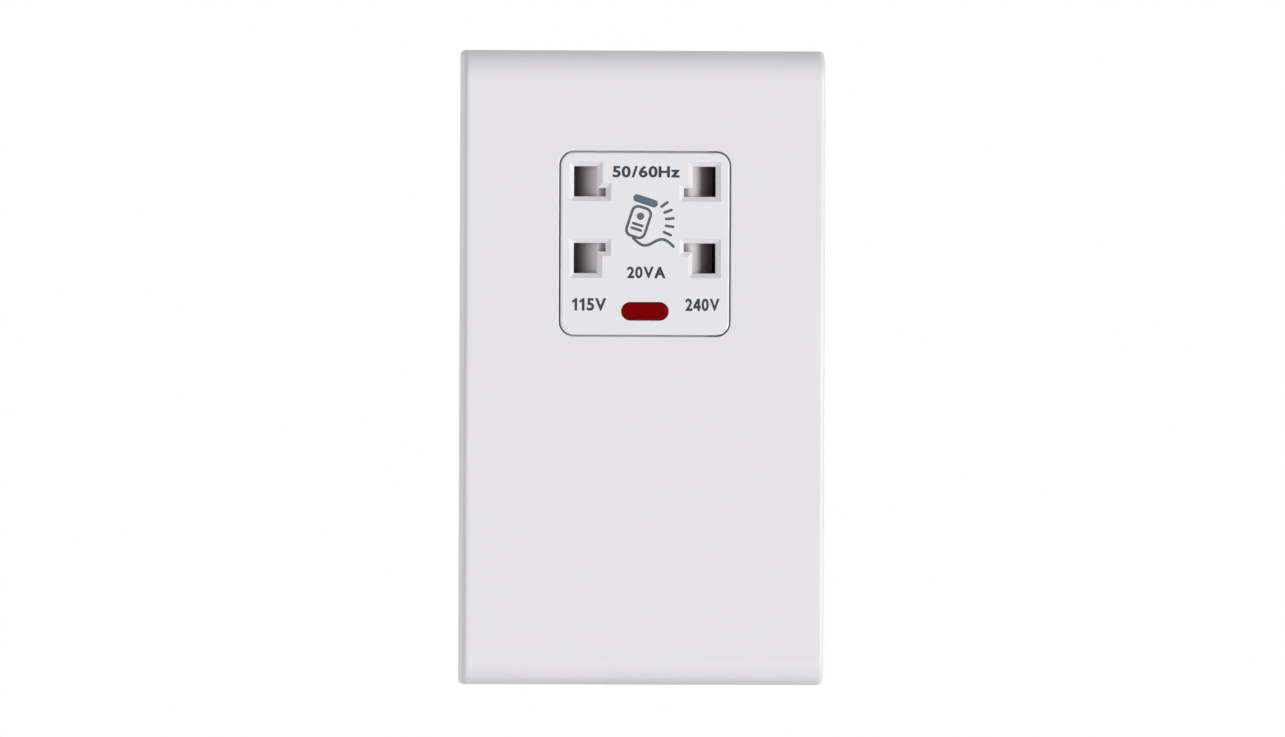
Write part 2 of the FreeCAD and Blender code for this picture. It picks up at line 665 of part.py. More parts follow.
def make_spring():
    """Coil spring between the webs of the two shutters."""
    body = new_body("shutter_spring")
    radius = d.spring_diameter / 2 - d.spring_wire / 2
    wire = d.spring_wire / 2
    start = -hole_inner_x + wire + d.leaf_fit
    sketch = new_sketch(body, "wire_section", "XZ_Plane", -web_middle, [circle(
        (start, socket_middle + radius), wire)])
    axis = sketch.addGeometry(Part.LineSegment(
        FreeCAD.Vector(-1, socket_middle.value, 0), FreeCAD.Vector(1, socket_middle.value, 0)), True)
    sketch.addConstraint(Sketcher.Constraint("Horizontal", axis))
    hold(sketch, "DistanceY", axis, 1, socket_middle)
    hold(sketch, "DistanceX", axis, 1, Size.of(-1))
    hold(sketch, "DistanceX", axis, 2, Size.of(1))
    feature = body.newObject("PartDesign::AdditiveHelix", "coil")
    feature.Profile = (sketch, [""])
    feature.ReferenceAxis = (sketch, ["Axis0"])
    feature.Mode = 2
    bind(feature, "Height", -start * 2)
    bind(feature, "Turns", d.spring_turns)
    doc.recompute()


def make_carrier():
    """Rear tub: shutter floor, contact chambers, guide rail, lamp saddles and screw holes."""
    body = new_body("contact_carrier")
    middle = (ZERO, d.face_centre)
    tub_width = cavity_half_width + d.carrier_wall
    tub_height = cavity_half_height + d.carrier_wall
    pad(body, "carrier_lip", "XZ_Plane", lip_front, chassis_front, [round_box(
        middle, flange_half_width, flange_half_height, d.face_corner)])
    pad(body, "carrier_tub", "XZ_Plane", lip_front, d.carrier_depth, [round_box(
        middle, tub_width, tub_height, d.face_corner)])
    pocket(body, "carrier_cavity", "XZ_Plane", lip_front, floor_front, [round_box(
        middle, cavity_half_width, cavity_half_height, d.face_corner - d.face_skirt)])
    chambers = []
    slots = []
    for side in (-1, 1):
        for up in (-1, 1):
            xs = [notch_inner_x - d.chamber_room, hole_outer_x + d.chamber_room]
            zs = [socket_middle + chamber_near * up, socket_middle + chamber_far * up]
            chambers.append(box_loop(xs[0] * side, xs[1] * side, zs[0], zs[1]))
            half = d.leaf_width / 2 + d.leaf_fit
            zs = [socket_middle + (leaf_back - d.leaf_strip - d.leaf_fit) * up, zs[1]]
            slots.append(box_loop(leaf_middle_x * side - half, leaf_middle_x * side + half, zs[0], zs[1]))
    pocket(body, "contact_chambers", "XZ_Plane", floor_front, chamber_end, chambers)
    pocket(body, "tail_slots", "XZ_Plane", chamber_end, d.carrier_depth, slots)
    rail_top = socket_middle - shutter_far - d.guide_gap
    pad(body, "guide_rail", "XZ_Plane", floor_front - d.rail_height, floor_front, [box_loop(
        -cavity_half_width, cavity_half_width, rail_top - d.rail_wall, rail_top)])
    lamp_y = floor_front - d.lamp_rest - d.lamp_diameter / 2
    half = d.lamp_diameter / 2 + d.lamp_fit
    saddles = []
    for side in (-1, 1):
        saddles.append(box_loop(
            d.saddle_offset * side - d.saddle_wall / 2, d.saddle_offset * side + d.saddle_wall / 2,
            lens_middle - half - d.rim_wall / 2, lens_middle + half))
    pad(body, "lamp_saddles", "XZ_Plane", lamp_y, floor_front, saddles)
    reach = d.saddle_offset + d.saddle_wall
    pocket(body, "lamp_seat", "YZ_Plane", -reach, reach, [circle((lamp_y, lens_middle), half)])
    shank = d.screw_shank / 2 + d.screw_clear
    pocket(body, "screw_holes", "XZ_Plane", lip_front, chassis_front, [
        circle(place, shank) for place in outlet_screw_places()])


def make_contact(name, side, up):
    """Leaf contact: straight tail along the outer wall, a front bend and a sprung leaf."""
    body = new_body(name)
    strip = d.leaf_strip
    front = floor_front + d.leaf_start
    tip_y = chamber_end - d.leaf_stop
    tip_z = d.hole_reach + d.leaf_press
    knee = leaf_back - d.leaf_drop
    slope = (knee - tip_z) / (tip_y - front)
    rise = strip * (slope * slope + 1).root()
    places = [
        (tail_end, leaf_back), (front, leaf_back), (front, knee), (tip_y, tip_z), (tip_y, tip_z + rise),
        (front + strip, knee - strip * slope + rise), (front + strip, leaf_back - strip),
        (tail_end, leaf_back - strip)]
    points = [(y, socket_middle + z * up) for y, z in places]
    middle = leaf_middle_x * side
    pad(body, "leaf", "YZ_Plane", middle - d.leaf_width / 2, middle + d.leaf_width / 2, [polygon(points)])
    fillet(body, "outer_bends", d.leaf_bend + strip,
           lambda box: at(box.YMin, box.YMax, front) and box.XLength > TOUCH)
    fillet(body, "inner_bends", d.leaf_bend,
           lambda box: at(box.YMin, box.YMax, front + strip) and box.XLength > TOUCH)


def make_common_link():
    """Strip across the ends of the two lower contact tails."""
    body = new_body("common_link")
    reach = leaf_middle_x + d.leaf_width / 2
    level = socket_middle - leaf_back + d.leaf_strip / 2
    pad(body, "link_strip", "XZ_Plane", tail_end, link_rear, [box_loop(
        -reach, reach, level - d.link_width / 2, level + d.link_width / 2)])
    fillet(body, "link_corners", d.link_width / 4,
           lambda box: box.YLength > TOUCH and box.XLength < TOUCH and box.ZLength < TOUCH)


def make_core():
    """Stack of E and I laminations with two windows and four screw holes."""
    body = new_body("transformer_core")
    unit = d.core_leg_width
    loops = [box_loop(-core_half_width, core_half_width,
                      core_middle - core_half_height, core_middle + core_half_height)]
    for up in (-1, 1):
        loops.append(box_loop(unit * -1.5, unit * 1.5, core_middle + unit * up, core_middle + unit * 2 * up))
    for place in core_screw_places():
        loops.append(circle(place, d.core_shank / 2 + d.screw_clear))
    pad(body, "laminations", "XZ_Plane", d.core_rest, core_rear, loops)


def core_screw_places():
    """Return the middles of the four core screws."""
    places = []
    for side in (-1, 1):
        for up in (-1, 1):
            places.append((core_screw_x * side, core_middle + core_screw_rise * up))
    return places


def make_former():
    """Former on the centre leg: a tube with four flanges, so three coils sit side by side."""
    body = new_body("coil_former")
    middle = (stack_middle, core_middle)
    bore = round_box(middle, tube_half_depth, tube_half_height, d.former_clearance)
    outside = round_box(middle, coil_inner_depth, coil_inner_height, d.former_wall)
    pad(body, "tube", "YZ_Plane", -former_half_length, former_half_length, [outside, bore])
    for number in range(4):
        left = -former_half_length + coil_pitch * number
        rim = round_box(middle, flange_coil_depth, flange_coil_height, d.former_wall)
        pad(body, f"flange_{number + 1}", "YZ_Plane", left, left + d.former_wall, [rim, bore])


def coil_ring(body, name, number, inset, inner, outer):
    """Add a ring round the former between two flanges, from an inner to an outer build."""
    left = -former_half_length + d.former_wall + coil_pitch * number + inset
    right = left + coil_length - inset * 2
    middle = (stack_middle, core_middle)
    corner = d.former_wall + (d.coil_corner - d.former_wall) * inner / d.coil_build
    hollow = round_box(middle, coil_inner_depth + inner, coil_inner_height + inner, corner)
    rim = round_box(middle, coil_inner_depth + outer, coil_inner_height + outer, d.coil_corner)
    pad(body, name, "YZ_Plane", left, right, [rim, hollow])


def make_coils():
    """Primary in the middle of the former, the two secondaries beside it, and tape over each."""
    for number, name in enumerate(("secondary_115", "primary_winding", "secondary_240")):
        coil_ring(new_body(name), "turns", number, ZERO, ZERO, d.coil_build)
    tape = new_body("winding_tape")
    for number in range(3):
        coil_ring(tape, f"tape_{number + 1}", number, d.tape_margin,
                  d.coil_build, d.coil_build + d.tape_strip)


def make_cutout():
    """Thermal cut-out lying on the rear of the primary."""
    body = new_body("thermal_cutout")
    level = core_middle + d.cutout_rise
    pad(body, "cutout_block", "XZ_Plane", tape_rear, tape_rear + d.cutout_depth, [box_loop(
        -d.cutout_width / 2, d.cutout_width / 2, level - d.cutout_height / 2, level + d.cutout_height / 2)])
    fillet(body, "cutout_edges", d.cutout_edge,
           lambda box: box.YLength > TOUCH or at(box.YMin, box.YMax, tape_rear + d.cutout_depth))


def make_chassis():
    """Moulded frame: fixing holes, windows, screw bosses, core posts, cradle and ribs."""
    body = new_body("chassis")
    half_width = d.plate_width / 2 - d.side_taper - d.plate_wall - d.plate_gap
    half_height = d.plate_height / 2 - d.plate_wall - d.plate_gap
    origin = (ZERO, ZERO)
    pad(body, "chassis_plate", "XZ_Plane", chassis_front, ZERO, [round_box(
        origin, half_width, half_height, d.chassis_corner)])
    pad(body, "front_rim", "XZ_Plane", chassis_front - d.rim_height, chassis_front, [
        round_box(origin, half_width, half_height, d.chassis_corner),
        round_box(origin, half_width - d.rim_wall, half_height - d.rim_wall, d.chassis_corner - d.rim_wall)])
    window_width = cavity_half_width + d.carrier_wall + d.carrier_fit
    window_height = cavity_half_height + d.carrier_wall + d.carrier_fit
    coil_width = former_half_length + d.coil_margin
    coil_height = flange_coil_height + d.coil_margin
    pad(body, "coil_collar", "XZ_Plane", chassis_front - d.rim_height, chassis_front, [
        round_box((ZERO, core_middle), coil_width + d.rim_wall, coil_height + d.rim_wall,
                  d.face_corner + d.rim_wall),
        round_box((ZERO, core_middle), coil_width, coil_height, d.face_corner)])
    fixing_places = [(ZERO, d.fixing_pitch / 2 * up) for up in (-1, 1)]
    pad(body, "fixing_seats", "XZ_Plane", chassis_front - d.seat_height, chassis_front, [
        circle(place, d.fixing_seat / 2) for place in fixing_places])
    pocket(body, "lip_room", "XZ_Plane", chassis_front - d.rim_height, chassis_front, [round_box(
        (ZERO, d.face_centre), flange_half_width + d.carrier_fit, flange_half_height + d.carrier_fit,
        d.face_corner + d.carrier_fit)])
    pocket(body, "windows", "XZ_Plane", chassis_front, ZERO, [
        round_box((ZERO, d.face_centre), window_width, window_height, d.face_corner),
        round_box((ZERO, core_middle), coil_width, coil_height, d.face_corner)])
    cradle_width = core_half_width + d.cradle_gap
    cradle_height = core_half_height + d.cradle_gap
    pad(body, "cradle", "XZ_Plane", ZERO, d.cradle_height, [
        round_box((ZERO, core_middle), cradle_width + d.cradle_wall, cradle_height + d.cradle_wall,
                  d.cradle_wall),
        box_loop(-cradle_width, cradle_width, core_middle - cradle_height, core_middle + cradle_height)])
    cradle_top = core_middle + cradle_height + d.cradle_wall / 2
    window_foot = d.face_centre - window_height
    pad(body, "ribs", "XZ_Plane", ZERO, d.cradle_height, [box_loop(
        d.rib_offset * side - d.rib_wall / 2, d.rib_offset * side + d.rib_wall / 2, cradle_top, window_foot)
        for side in (-1, 1)])
    boss = d.screw_shank / 2 + d.boss_wall
    pad(body, "outlet_bosses", "XZ_Plane", chassis_front, d.boss_length, [
        circle(place, boss) for place in outlet_screw_places()])
    post = d.core_shank / 2 + d.boss_wall
    pad(body, "core_posts", "XZ_Plane", chassis_front - d.core_post, d.core_rest, [
        circle(place, post) for place in core_screw_places()])
    pocket(body, "outlet_screw_holes", "XZ_Plane", chassis_front, d.boss_length, [
        circle(place, d.screw_shank / 2 + d.screw_fit) for place in outlet_screw_places()])
    pocket(body, "core_screw_holes", "XZ_Plane", chassis_front - d.core_post, d.core_rest, [
        circle(place, d.core_shank / 2 + d.screw_fit) for place in core_screw_places()])
    pocket(body, "fixing_holes", "XZ_Plane", chassis_front - d.seat_height, ZERO, [
        circle(place, d.fixing_hole / 2) for place in fixing_places])
    notches = []
    half = d.hook_length / 2 + d.hook_fit
    for side in (-1, 1):
        for up in (-1, 1):
            middle = d.hook_offset * side
            notches.append(box_loop(middle - half, middle + half, (half_height + d.plate_gap) * up,
                                    (half_height - d.hook_bite - d.hook_fit) * up))
    pocket(body, "hook_notches", "XZ_Plane", -d.hook_depth - d.hook_fit, ZERO, notches)


def make_terminals():
    """Barrier block on the rear of the carrier, and the two pillars between its barriers."""
    block = new_body("terminal_block")
    reach = terminal_x + d.terminal_width / 2 + d.barrier_fit + d.barrier_wall
    low = terminal_bottom - d.barrier_margin
    high = terminal_top + d.barrier_margin
    pad(block, "block_base", "XZ_Plane", d.carrier_depth, terminal_front, [
        box_loop(-reach, reach, low, high)])
    walls = []
    for middle in (-reach + d.barrier_wall / 2, ZERO, reach - d.barrier_wall / 2):
        walls.append(box_loop(middle - d.barrier_wall / 2, middle + d.barrier_wall / 2, low, high))
    pad(block, "barriers", "XZ_Plane", terminal_front, terminal_rear, walls)
    for name, side in (("terminal_live", -1), ("terminal_neutral", 1)):
        pillar = new_body(name)
        middle = terminal_x * side
        half = d.terminal_width / 2
        pad(pillar, "pillar", "XZ_Plane", terminal_front, terminal_rear, [box_loop(
            middle - half, middle + half, terminal_bottom, terminal_top)])
        fillet(pillar, "pillar_edges", d.terminal_edge, lambda box: box.YLength > TOUCH)
        pocket(pillar, "wire_bore", "XY_Plane", terminal_bottom, terminal_top, [circle(
            (middle, bore_y), d.terminal_bore / 2)])
        pocket(pillar, "screw_bore", "XZ_Plane", bore_y, terminal_rear, [circle(
            (middle, terminal_middle), d.clamp_shank / 2 + d.screw_fit)])


def put(thing, x, y, z, turn):
    """Place a primitive: a fixed turn, and a position bound to the sheet."""
    thing.Placement = FreeCAD.Placement(FreeCAD.Vector(0, 0, 0), turn)
    for axis, size in zip("xyz", (x, y, z)):
        bind(thing, f"Placement.Base.{axis}", size)


def rod(name, x, y, z, turn, radius, height, tip=None):
    """Make a cylinder, or a cone when a tip radius is given, along its turned Z axis."""
    if tip is None:
        thing = doc.addObject("Part::Cylinder", name)
        bind(thing, "Radius", radius)
    else:
        thing = doc.addObject("Part::Cone", name)
        bind(thing, "Radius1", radius)
        bind(thing, "Radius2", tip)
    bind(thing, "Height", height)
    put(thing, x, y, z, turn)
    return thing


def make_screw(name, x, z, top, tip, head, shank, head_height, flat, cross):
    """Make one screw along Y: its head starts at the plane top, and its shank ends at tip."""
    facing = -1 if top.value < tip.value else 1
    inward = FreeCAD.Rotation(FreeCAD.Vector(0, 0, 1), FreeCAD.Vector(0, -facing, 0))
    under = top - head_height * facing
    cap = rod(f"{name}_head", x, top, z, inward, head / 2, head_height, shank / 2 if flat else None)
    stem = rod(f"{name}_stem", x, under, z, inward, shank / 2, (under - tip) * facing)
    whole = doc.addObject("Part::MultiFuse", f"{name}_whole")
    whole.Shapes = [cap, stem]
    for number in range(2 if cross else 1):
        bar = doc.addObject("Part::Box", f"{name}_drive_{number}")
        length = head * (0.62 if cross else 1.1)
        wide, tall = (length, d.drive_width) if number == 0 else (d.drive_width, length)
        bind(bar, "Length", wide)
        bind(bar, "Width", d.drive_depth)
        bind(bar, "Height", tall)
        put(bar, x - wide / 2, top - d.drive_depth if facing > 0 else top, z - tall / 2, FreeCAD.Rotation())
        cut = doc.addObject("Part::Cut", f"{name}_cut_{number}")
        cut.Base = whole
        cut.Tool = bar
        whole = cut
    return whole


def make_group(name, members):
    """Gather like pieces into one sub-part."""
    group = doc.addObject("Part::Compound", name)
    group.Label = name
    group.Links = members
    nodes.append(group)


def make_screws():
    """Outlet screws from the front, core screws and terminal screws from the rear."""
    head_height = (d.screw_head - d.screw_shank) / 2
    screws = []
    for number, (x, z) in enumerate(outlet_screw_places(), 1):
        screws.append(make_screw(f"outlet_screw_{number}", x, z, flange_front, d.boss_length - d.boss_wall,
                                 d.screw_head, d.screw_shank, head_height, True, True))
    make_group("outlet_screws", screws)
    screws = []
    for number, (x, z) in enumerate(core_screw_places(), 1):
        screws.append(make_screw(f"core_screw_{number}", x, z, core_rear + d.core_head_height,
                                 chassis_front - d.core_post / 2, d.core_head, d.core_shank,
                                 d.core_head_height, False, True))
    make_group("core_screws", screws)
    screws = []
    for number, side in ((1, -1), (2, 1)):
        screws.append(make_screw(f"terminal_screw_{number}", terminal_x * side, terminal_middle,
                                 terminal_rear + d.clamp_head_height, terminal_rear - d.clamp_reach,
                                 d.clamp_head, d.clamp_shank, d.clamp_head_height, False, False))
    make_group("terminal_screws", screws)


def make_lead(name, places):
    """Sweep a round lead along straight runs joined by tangent arcs."""
    points = [FreeCAD.Vector(*(Size.of(value).value for value in place)) for place in places]
    edges = []
    start = points[0]
    for before, corner, after in zip(points, points[1:], points[2:]):
        back = (before - corner).normalize()
        ahead = (after - corner).normalize()
        half = back.getAngle(ahead) / 2
        room = min((corner - before).Length, (after - corner).Length) * 0.45
        length = min(d.lead_bend.value / math.tan(half), room)
        first, last = corner + back * length, corner + ahead * length
        bisector = (back + ahead).normalize()
        radius = length * math.tan(half)
        middle = corner + bisector * (radius / math.sin(half) - radius)
        edges.append(Part.LineSegment(start, first).toShape())
        edges.append(Part.Arc(first, middle, last).toShape())
        start = last
    edges.append(Part.LineSegment(start, points[-1]).toShape())
    path = Part.Wire(edges)
    section = Part.Wire(Part.makeCircle(d.lead_diameter.value / 2, points[0], points[1] - points[0]))
    lead = doc.addObject("Part::Feature", name)
    lead.Label = name
    lead.Shape = path.makePipeShell([section], True, False)
    nodes.append(lead)
    expected = math.pi * d.lead_diameter.value ** 2 / 4 * path.Length
    assert abs(lead.Shape.Volume / expected - 1) < 0.01, f"{name} is not a clean sweep"


def make_leads():
    """Internal leads: terminals to the primary, and the secondaries to the contacts."""
    turn = d.lead_fall
    entry = core_rear + d.lead_entry
    stand = tail_end + d.lead_stand
    cutout_y = tape_rear + d.cutout_depth / 2
    cutout_top = core_middle + d.cutout_rise + d.cutout_height / 2
    coil_top = core_middle + core_half_height
    make_lead("lead_live", [
        (-d.lead_offset, bore_y, terminal_bottom), (-d.lead_offset, bore_y, turn),
        (-d.lead_offset, cutout_y, coil_top - d.lead_bend), (-d.lead_offset, cutout_y, cutout_top)])
    make_lead("lead_neutral", [
        (d.lead_offset, bore_y, terminal_bottom), (d.lead_offset, bore_y, turn),
        (d.lead_offset, entry, coil_top), (d.lead_offset, entry, tape_top)])
    tail_level = leaf_back - d.leaf_strip / 2
    for name, side in (("lead_115", -1), ("lead_240", 1)):
        contact = leaf_middle_x * side
        coil = (coil_pitch + d.lead_spread) * side
        make_lead(name, [
            (contact, tail_end, socket_middle + tail_level), (contact, stand, socket_middle + tail_level),
            (coil, stand, turn), (coil, entry, coil_top), (coil, entry, tape_top)])
    coil = -coil_pitch + d.lead_spread
    make_lead("lead_common", [
        (coil, link_rear, socket_middle - tail_level), (coil, stand, socket_middle - tail_level),
        (coil, stand, turn), (coil, entry, coil_top), (coil, entry, tape_top)])


def write_parts():
    """Check every object of the document, and write each sub-part to its own file."""
    doc.recompute()
    faults = []
    for thing in doc.Objects:
        if "Invalid" in thing.State or "Error" in thing.State:
            faults.append(f"{thing.Name}: {thing.State}")
        elif hasattr(thing, "Shape") and thing.TypeId != "Sketcher::SketchObject":
            if thing.Shape.isNull() or not thing.Shape.isValid():
                faults.append(f"{thing.Name}: shape")
    assert not faults, faults
    for node in nodes:
        assert node.Shape.Solids, f"{node.Label} has no solid"
        node.Shape.exportStep(f"parts/{node.Label}.step")


make_front_plate()
make_outlet_face()
make_neon_lens()
make_lamp()
make_shutter("shutter_115", -1)
make_shutter("shutter_240", 1)
make_spring()
make_carrier()
make_contact("contact_115_upper", -1, 1)
make_contact("contact_115_lower", -1, -1)
make_contact("contact_240_upper", 1, 1)
make_contact("contact_240_lower", 1, -1)
make_common_link()
make_chassis()
make_core()
make_former()
make_coils()
make_cutout()
make_terminals()
make_screws()
make_leads()
write_parts()
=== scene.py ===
"""Looks of a dual-voltage shaver socket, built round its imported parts.

Lengths are metres in the part's own frame: +X to the right, +Z up, the front towards -Y and the
wall at Y = 0. Each sub-assembly is a class that dresses its parts and adds what repeats on them.
Outlines are drawn in millimetres, because filling an outline needs well-spaced points.
"""

import logging
import math
from collections.abc import Callable
from dataclasses import dataclass
from enum import Enum

import bmesh
import bpy
from mathutils import Color, Matrix, Vector


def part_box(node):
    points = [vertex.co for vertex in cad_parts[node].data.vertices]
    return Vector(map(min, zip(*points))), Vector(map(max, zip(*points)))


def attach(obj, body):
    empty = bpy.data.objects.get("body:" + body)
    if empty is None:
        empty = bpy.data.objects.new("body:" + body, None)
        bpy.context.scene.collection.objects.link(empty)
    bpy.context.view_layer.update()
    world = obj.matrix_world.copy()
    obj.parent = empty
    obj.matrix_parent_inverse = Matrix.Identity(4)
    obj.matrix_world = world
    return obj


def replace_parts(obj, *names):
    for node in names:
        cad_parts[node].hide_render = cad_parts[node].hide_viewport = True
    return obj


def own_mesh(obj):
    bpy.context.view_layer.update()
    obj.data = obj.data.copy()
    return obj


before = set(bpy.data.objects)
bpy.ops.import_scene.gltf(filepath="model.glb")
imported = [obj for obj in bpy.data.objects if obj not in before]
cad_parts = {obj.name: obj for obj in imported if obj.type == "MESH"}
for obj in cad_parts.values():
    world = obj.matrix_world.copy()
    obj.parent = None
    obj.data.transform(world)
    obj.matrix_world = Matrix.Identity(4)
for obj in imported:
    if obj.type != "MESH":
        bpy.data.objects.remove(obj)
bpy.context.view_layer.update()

MM = 0.001
MERGE = 1e-7
ROUND_STEPS = 6
DISPLAY_WHITE = 255
BASE = "base"

Colour = tuple[float, float, float]
Place = tuple[float, float, float]
Loop = list[tuple[float, float]]
Mesh = bpy.types.Mesh
Piece = bpy.types.Object
Socket = bpy.types.NodeSocket
Given = bpy.types.NodeOutputs

WHITE: Colour = (1.0, 1.0, 1.0)

log = logging.getLogger("shaver_socket")


class SpotShape(Enum):
    """What a spot pattern sets on each of its points."""

    BEAD = "bead"
    DISC = "disc"


class Facing(Enum):
    """Which side lettering is read from, as a turn about the upright."""

    FRONT = 0.0
    REAR = math.pi


def shown(red: int, green: int, blue: int) -> Colour:
    """Return the linear colour that shows these display values, from 0 to 255, under plain light."""
    display = Color((red / DISPLAY_WHITE, green / DISPLAY_WHITE, blue / DISPLAY_WHITE))
    return tuple(display.from_srgb_to_scene_linear())


def scaled(colour: Colour, share: float = 1.0) -> tuple[float, float, float, float]:
    """Return a colour made lighter or darker by a share, with full alpha."""
    return (colour[0] * share, colour[1] * share, colour[2] * share, 1.0)


class NodeSheet:
    """A node tree in the making."""

    # A Mix node repeats its socket names for each kind of value, so its colours are found by number.
    colour_below = 6
    colour_above = 7
    colour_result = 2

    def __init__(self, tree: bpy.types.NodeTree) -> None:
        """Keep the tree that the nodes go into."""
        self.tree = tree

    def add(self, kind: str, inputs: dict | None = None, **settings: object) -> bpy.types.Node:
        """Add one node.

        Args:
            kind: the node's type name.
            inputs: a value or a socket for each input name or number.
            settings: properties of the node, set before its inputs.

        Returns:
            The new node.
        """
        node = self.tree.nodes.new(kind)
        for name, value in settings.items():
            setattr(node, name, value)
        for key, value in (inputs or {}).items():
            self.feed(node.inputs[key], value)
        return node

    def out(self, kind: str, inputs: dict | None = None, output: int | str = 0,
            **settings: object) -> Socket:
        """Add one node and hand on one of its outputs.

        Args:
            kind: the node's type name.
            inputs: a value or a socket for each input name or number.
            output: name or number of the output.
            settings: properties of the node.

        Returns:
            The output's socket.
        """
        return self.add(kind, inputs, **settings).outputs[output]

    def math(self, operation: str, *values: object) -> Socket:
        """Work out a number from values or sockets and hand on its socket."""
        return self.out("ShaderNodeMath", dict(enumerate(values)), operation=operation)

    def cover(self, mask: object, below: object, above: object, blend: str = "MIX") -> Socket:
        """Lay one colour over another.

        Args:
            mask: how much of the upper colour shows, from 0 to 1.
            below: the lower colour.
            above: the upper colour.
            blend: how the two are put together.

        Returns:
            The socket of the resulting colour.
        """
        colours = {0: mask, self.colour_below: below, self.colour_above: above}
        return self.out("ShaderNodeMix", colours, self.colour_result, data_type="RGBA", blend_type=blend)

    def feed(self, target: Socket, value: object) -> None:
        """Join a socket to an input, or set a plain value on it.

        Args:
            target: the input.
            value: a socket or a plain value.
        """
        if isinstance(value, bpy.types.NodeSocket):
            self.tree.links.new(value, target)
        else:
            target.default_value = value


def blank_sheet(owner: bpy.types.Material | bpy.types.World) -> NodeSheet:
    """Give a material or a world an empty node tree.

    Args:
        owner: the material or world.

    Returns:
        The empty tree.
    """
    owner.use_nodes = True
    owner.node_tree.nodes.clear()
    return NodeSheet(owner.node_tree)


class SharedEffect:
    """A shader node group that several finishes use."""

    inputs: dict[str, str] = {}
    outputs: tuple[str, ...] = ()

    def __init__(self) -> None:
        """Build the group once, with its named inputs and outputs."""
        self.tree = bpy.data.node_groups.new(type(self).__name__, "ShaderNodeTree")
        for label, kind in self.inputs.items():
            self.tree.interface.new_socket(label, in_out="INPUT", socket_type=kind)
        for label in self.outputs:
            self.tree.interface.new_socket(label, in_out="OUTPUT", socket_type="NodeSocketFloat")
        sheet = NodeSheet(self.tree)
        given = sheet.add("NodeGroupInput").outputs
        sheet.add("NodeGroupOutput", self.wire(sheet, given))

    def wire(self, sheet: NodeSheet, given: Given) -> dict[str, Socket]:
        """Lay out the group's nodes.

        Args:
            sheet: the group's tree.
            given: the group's inputs.

        Returns:
            A socket for each output name.
        """
        raise NotImplementedError


class SurfaceGrain(SharedEffect):
    """Fine grain and broad drift of a moulded, drawn or brushed surface."""

    inputs = {"Place": "NodeSocketVector", "Stretch": "NodeSocketVector",
              "Fine Scale": "NodeSocketFloat", "Broad Scale": "NodeSocketFloat"}
    outputs = ("Height", "Drift")
    fine = {"Detail": 3.0, "Roughness": 0.6}
    broad = {"Detail": 2.0, "Roughness": 0.5}
    drift_range = {"From Min": 0.3, "From Max": 0.7}

    def wire(self, sheet: NodeSheet, given: Given) -> dict[str, Socket]:
        """Lay out a stretched fine noise and a broad one.

        Args:
            sheet: the group's tree.
            given: the group's inputs.

        Returns:
            The sockets of Height and Drift.
        """
        drawn_out = sheet.out("ShaderNodeVectorMath", {0: given["Place"], 1: given["Stretch"]},
                              operation="MULTIPLY")
        fine = sheet.out("ShaderNodeTexNoise", {
            "Vector": drawn_out, "Scale": given["Fine Scale"], **self.fine})
        broad = sheet.out("ShaderNodeTexNoise", {
            "Vector": drawn_out, "Scale": given["Broad Scale"], **self.broad})
        drift = sheet.out("ShaderNodeMapRange", {"Value": broad, **self.drift_range})
        return {"Height": fine, "Drift": drift}


class Specks(SharedEffect):
    """Scattered small spots, such as filler in a moulding or stains on steel."""

    inputs = {"Place": "NodeSocketVector", "Density": "NodeSocketFloat",
              "Size": "NodeSocketFloat", "Share": "NodeSocketFloat"}
    outputs = ("Mask",)

    def wire(self, sheet: NodeSheet, given: Given) -> dict[str, Socket]:
        """Lay out a cell pattern of which only some cells hold a spot.

        Args:
            sheet: the group's tree.
            given: the group's inputs.

        Returns:
            The socket of Mask.
        """
        cells = sheet.add("ShaderNodeTexVoronoi", {"Vector": given["Place"], "Scale": given["Density"]})
        spot = sheet.out("ShaderNodeMapRange", {"Value": cells.outputs["Distance"],
                                                "From Min": given["Size"], "From Max": 0.0})
        draw = sheet.out("ShaderNodeSeparateColor", {"Color": cells.outputs["Color"]})
        held = sheet.math("LESS_THAN", draw, given["Share"])
        return {"Mask": sheet.math("MULTIPLY", spot, held)}


GRAIN = SurfaceGrain()
SPECKS = Specks()


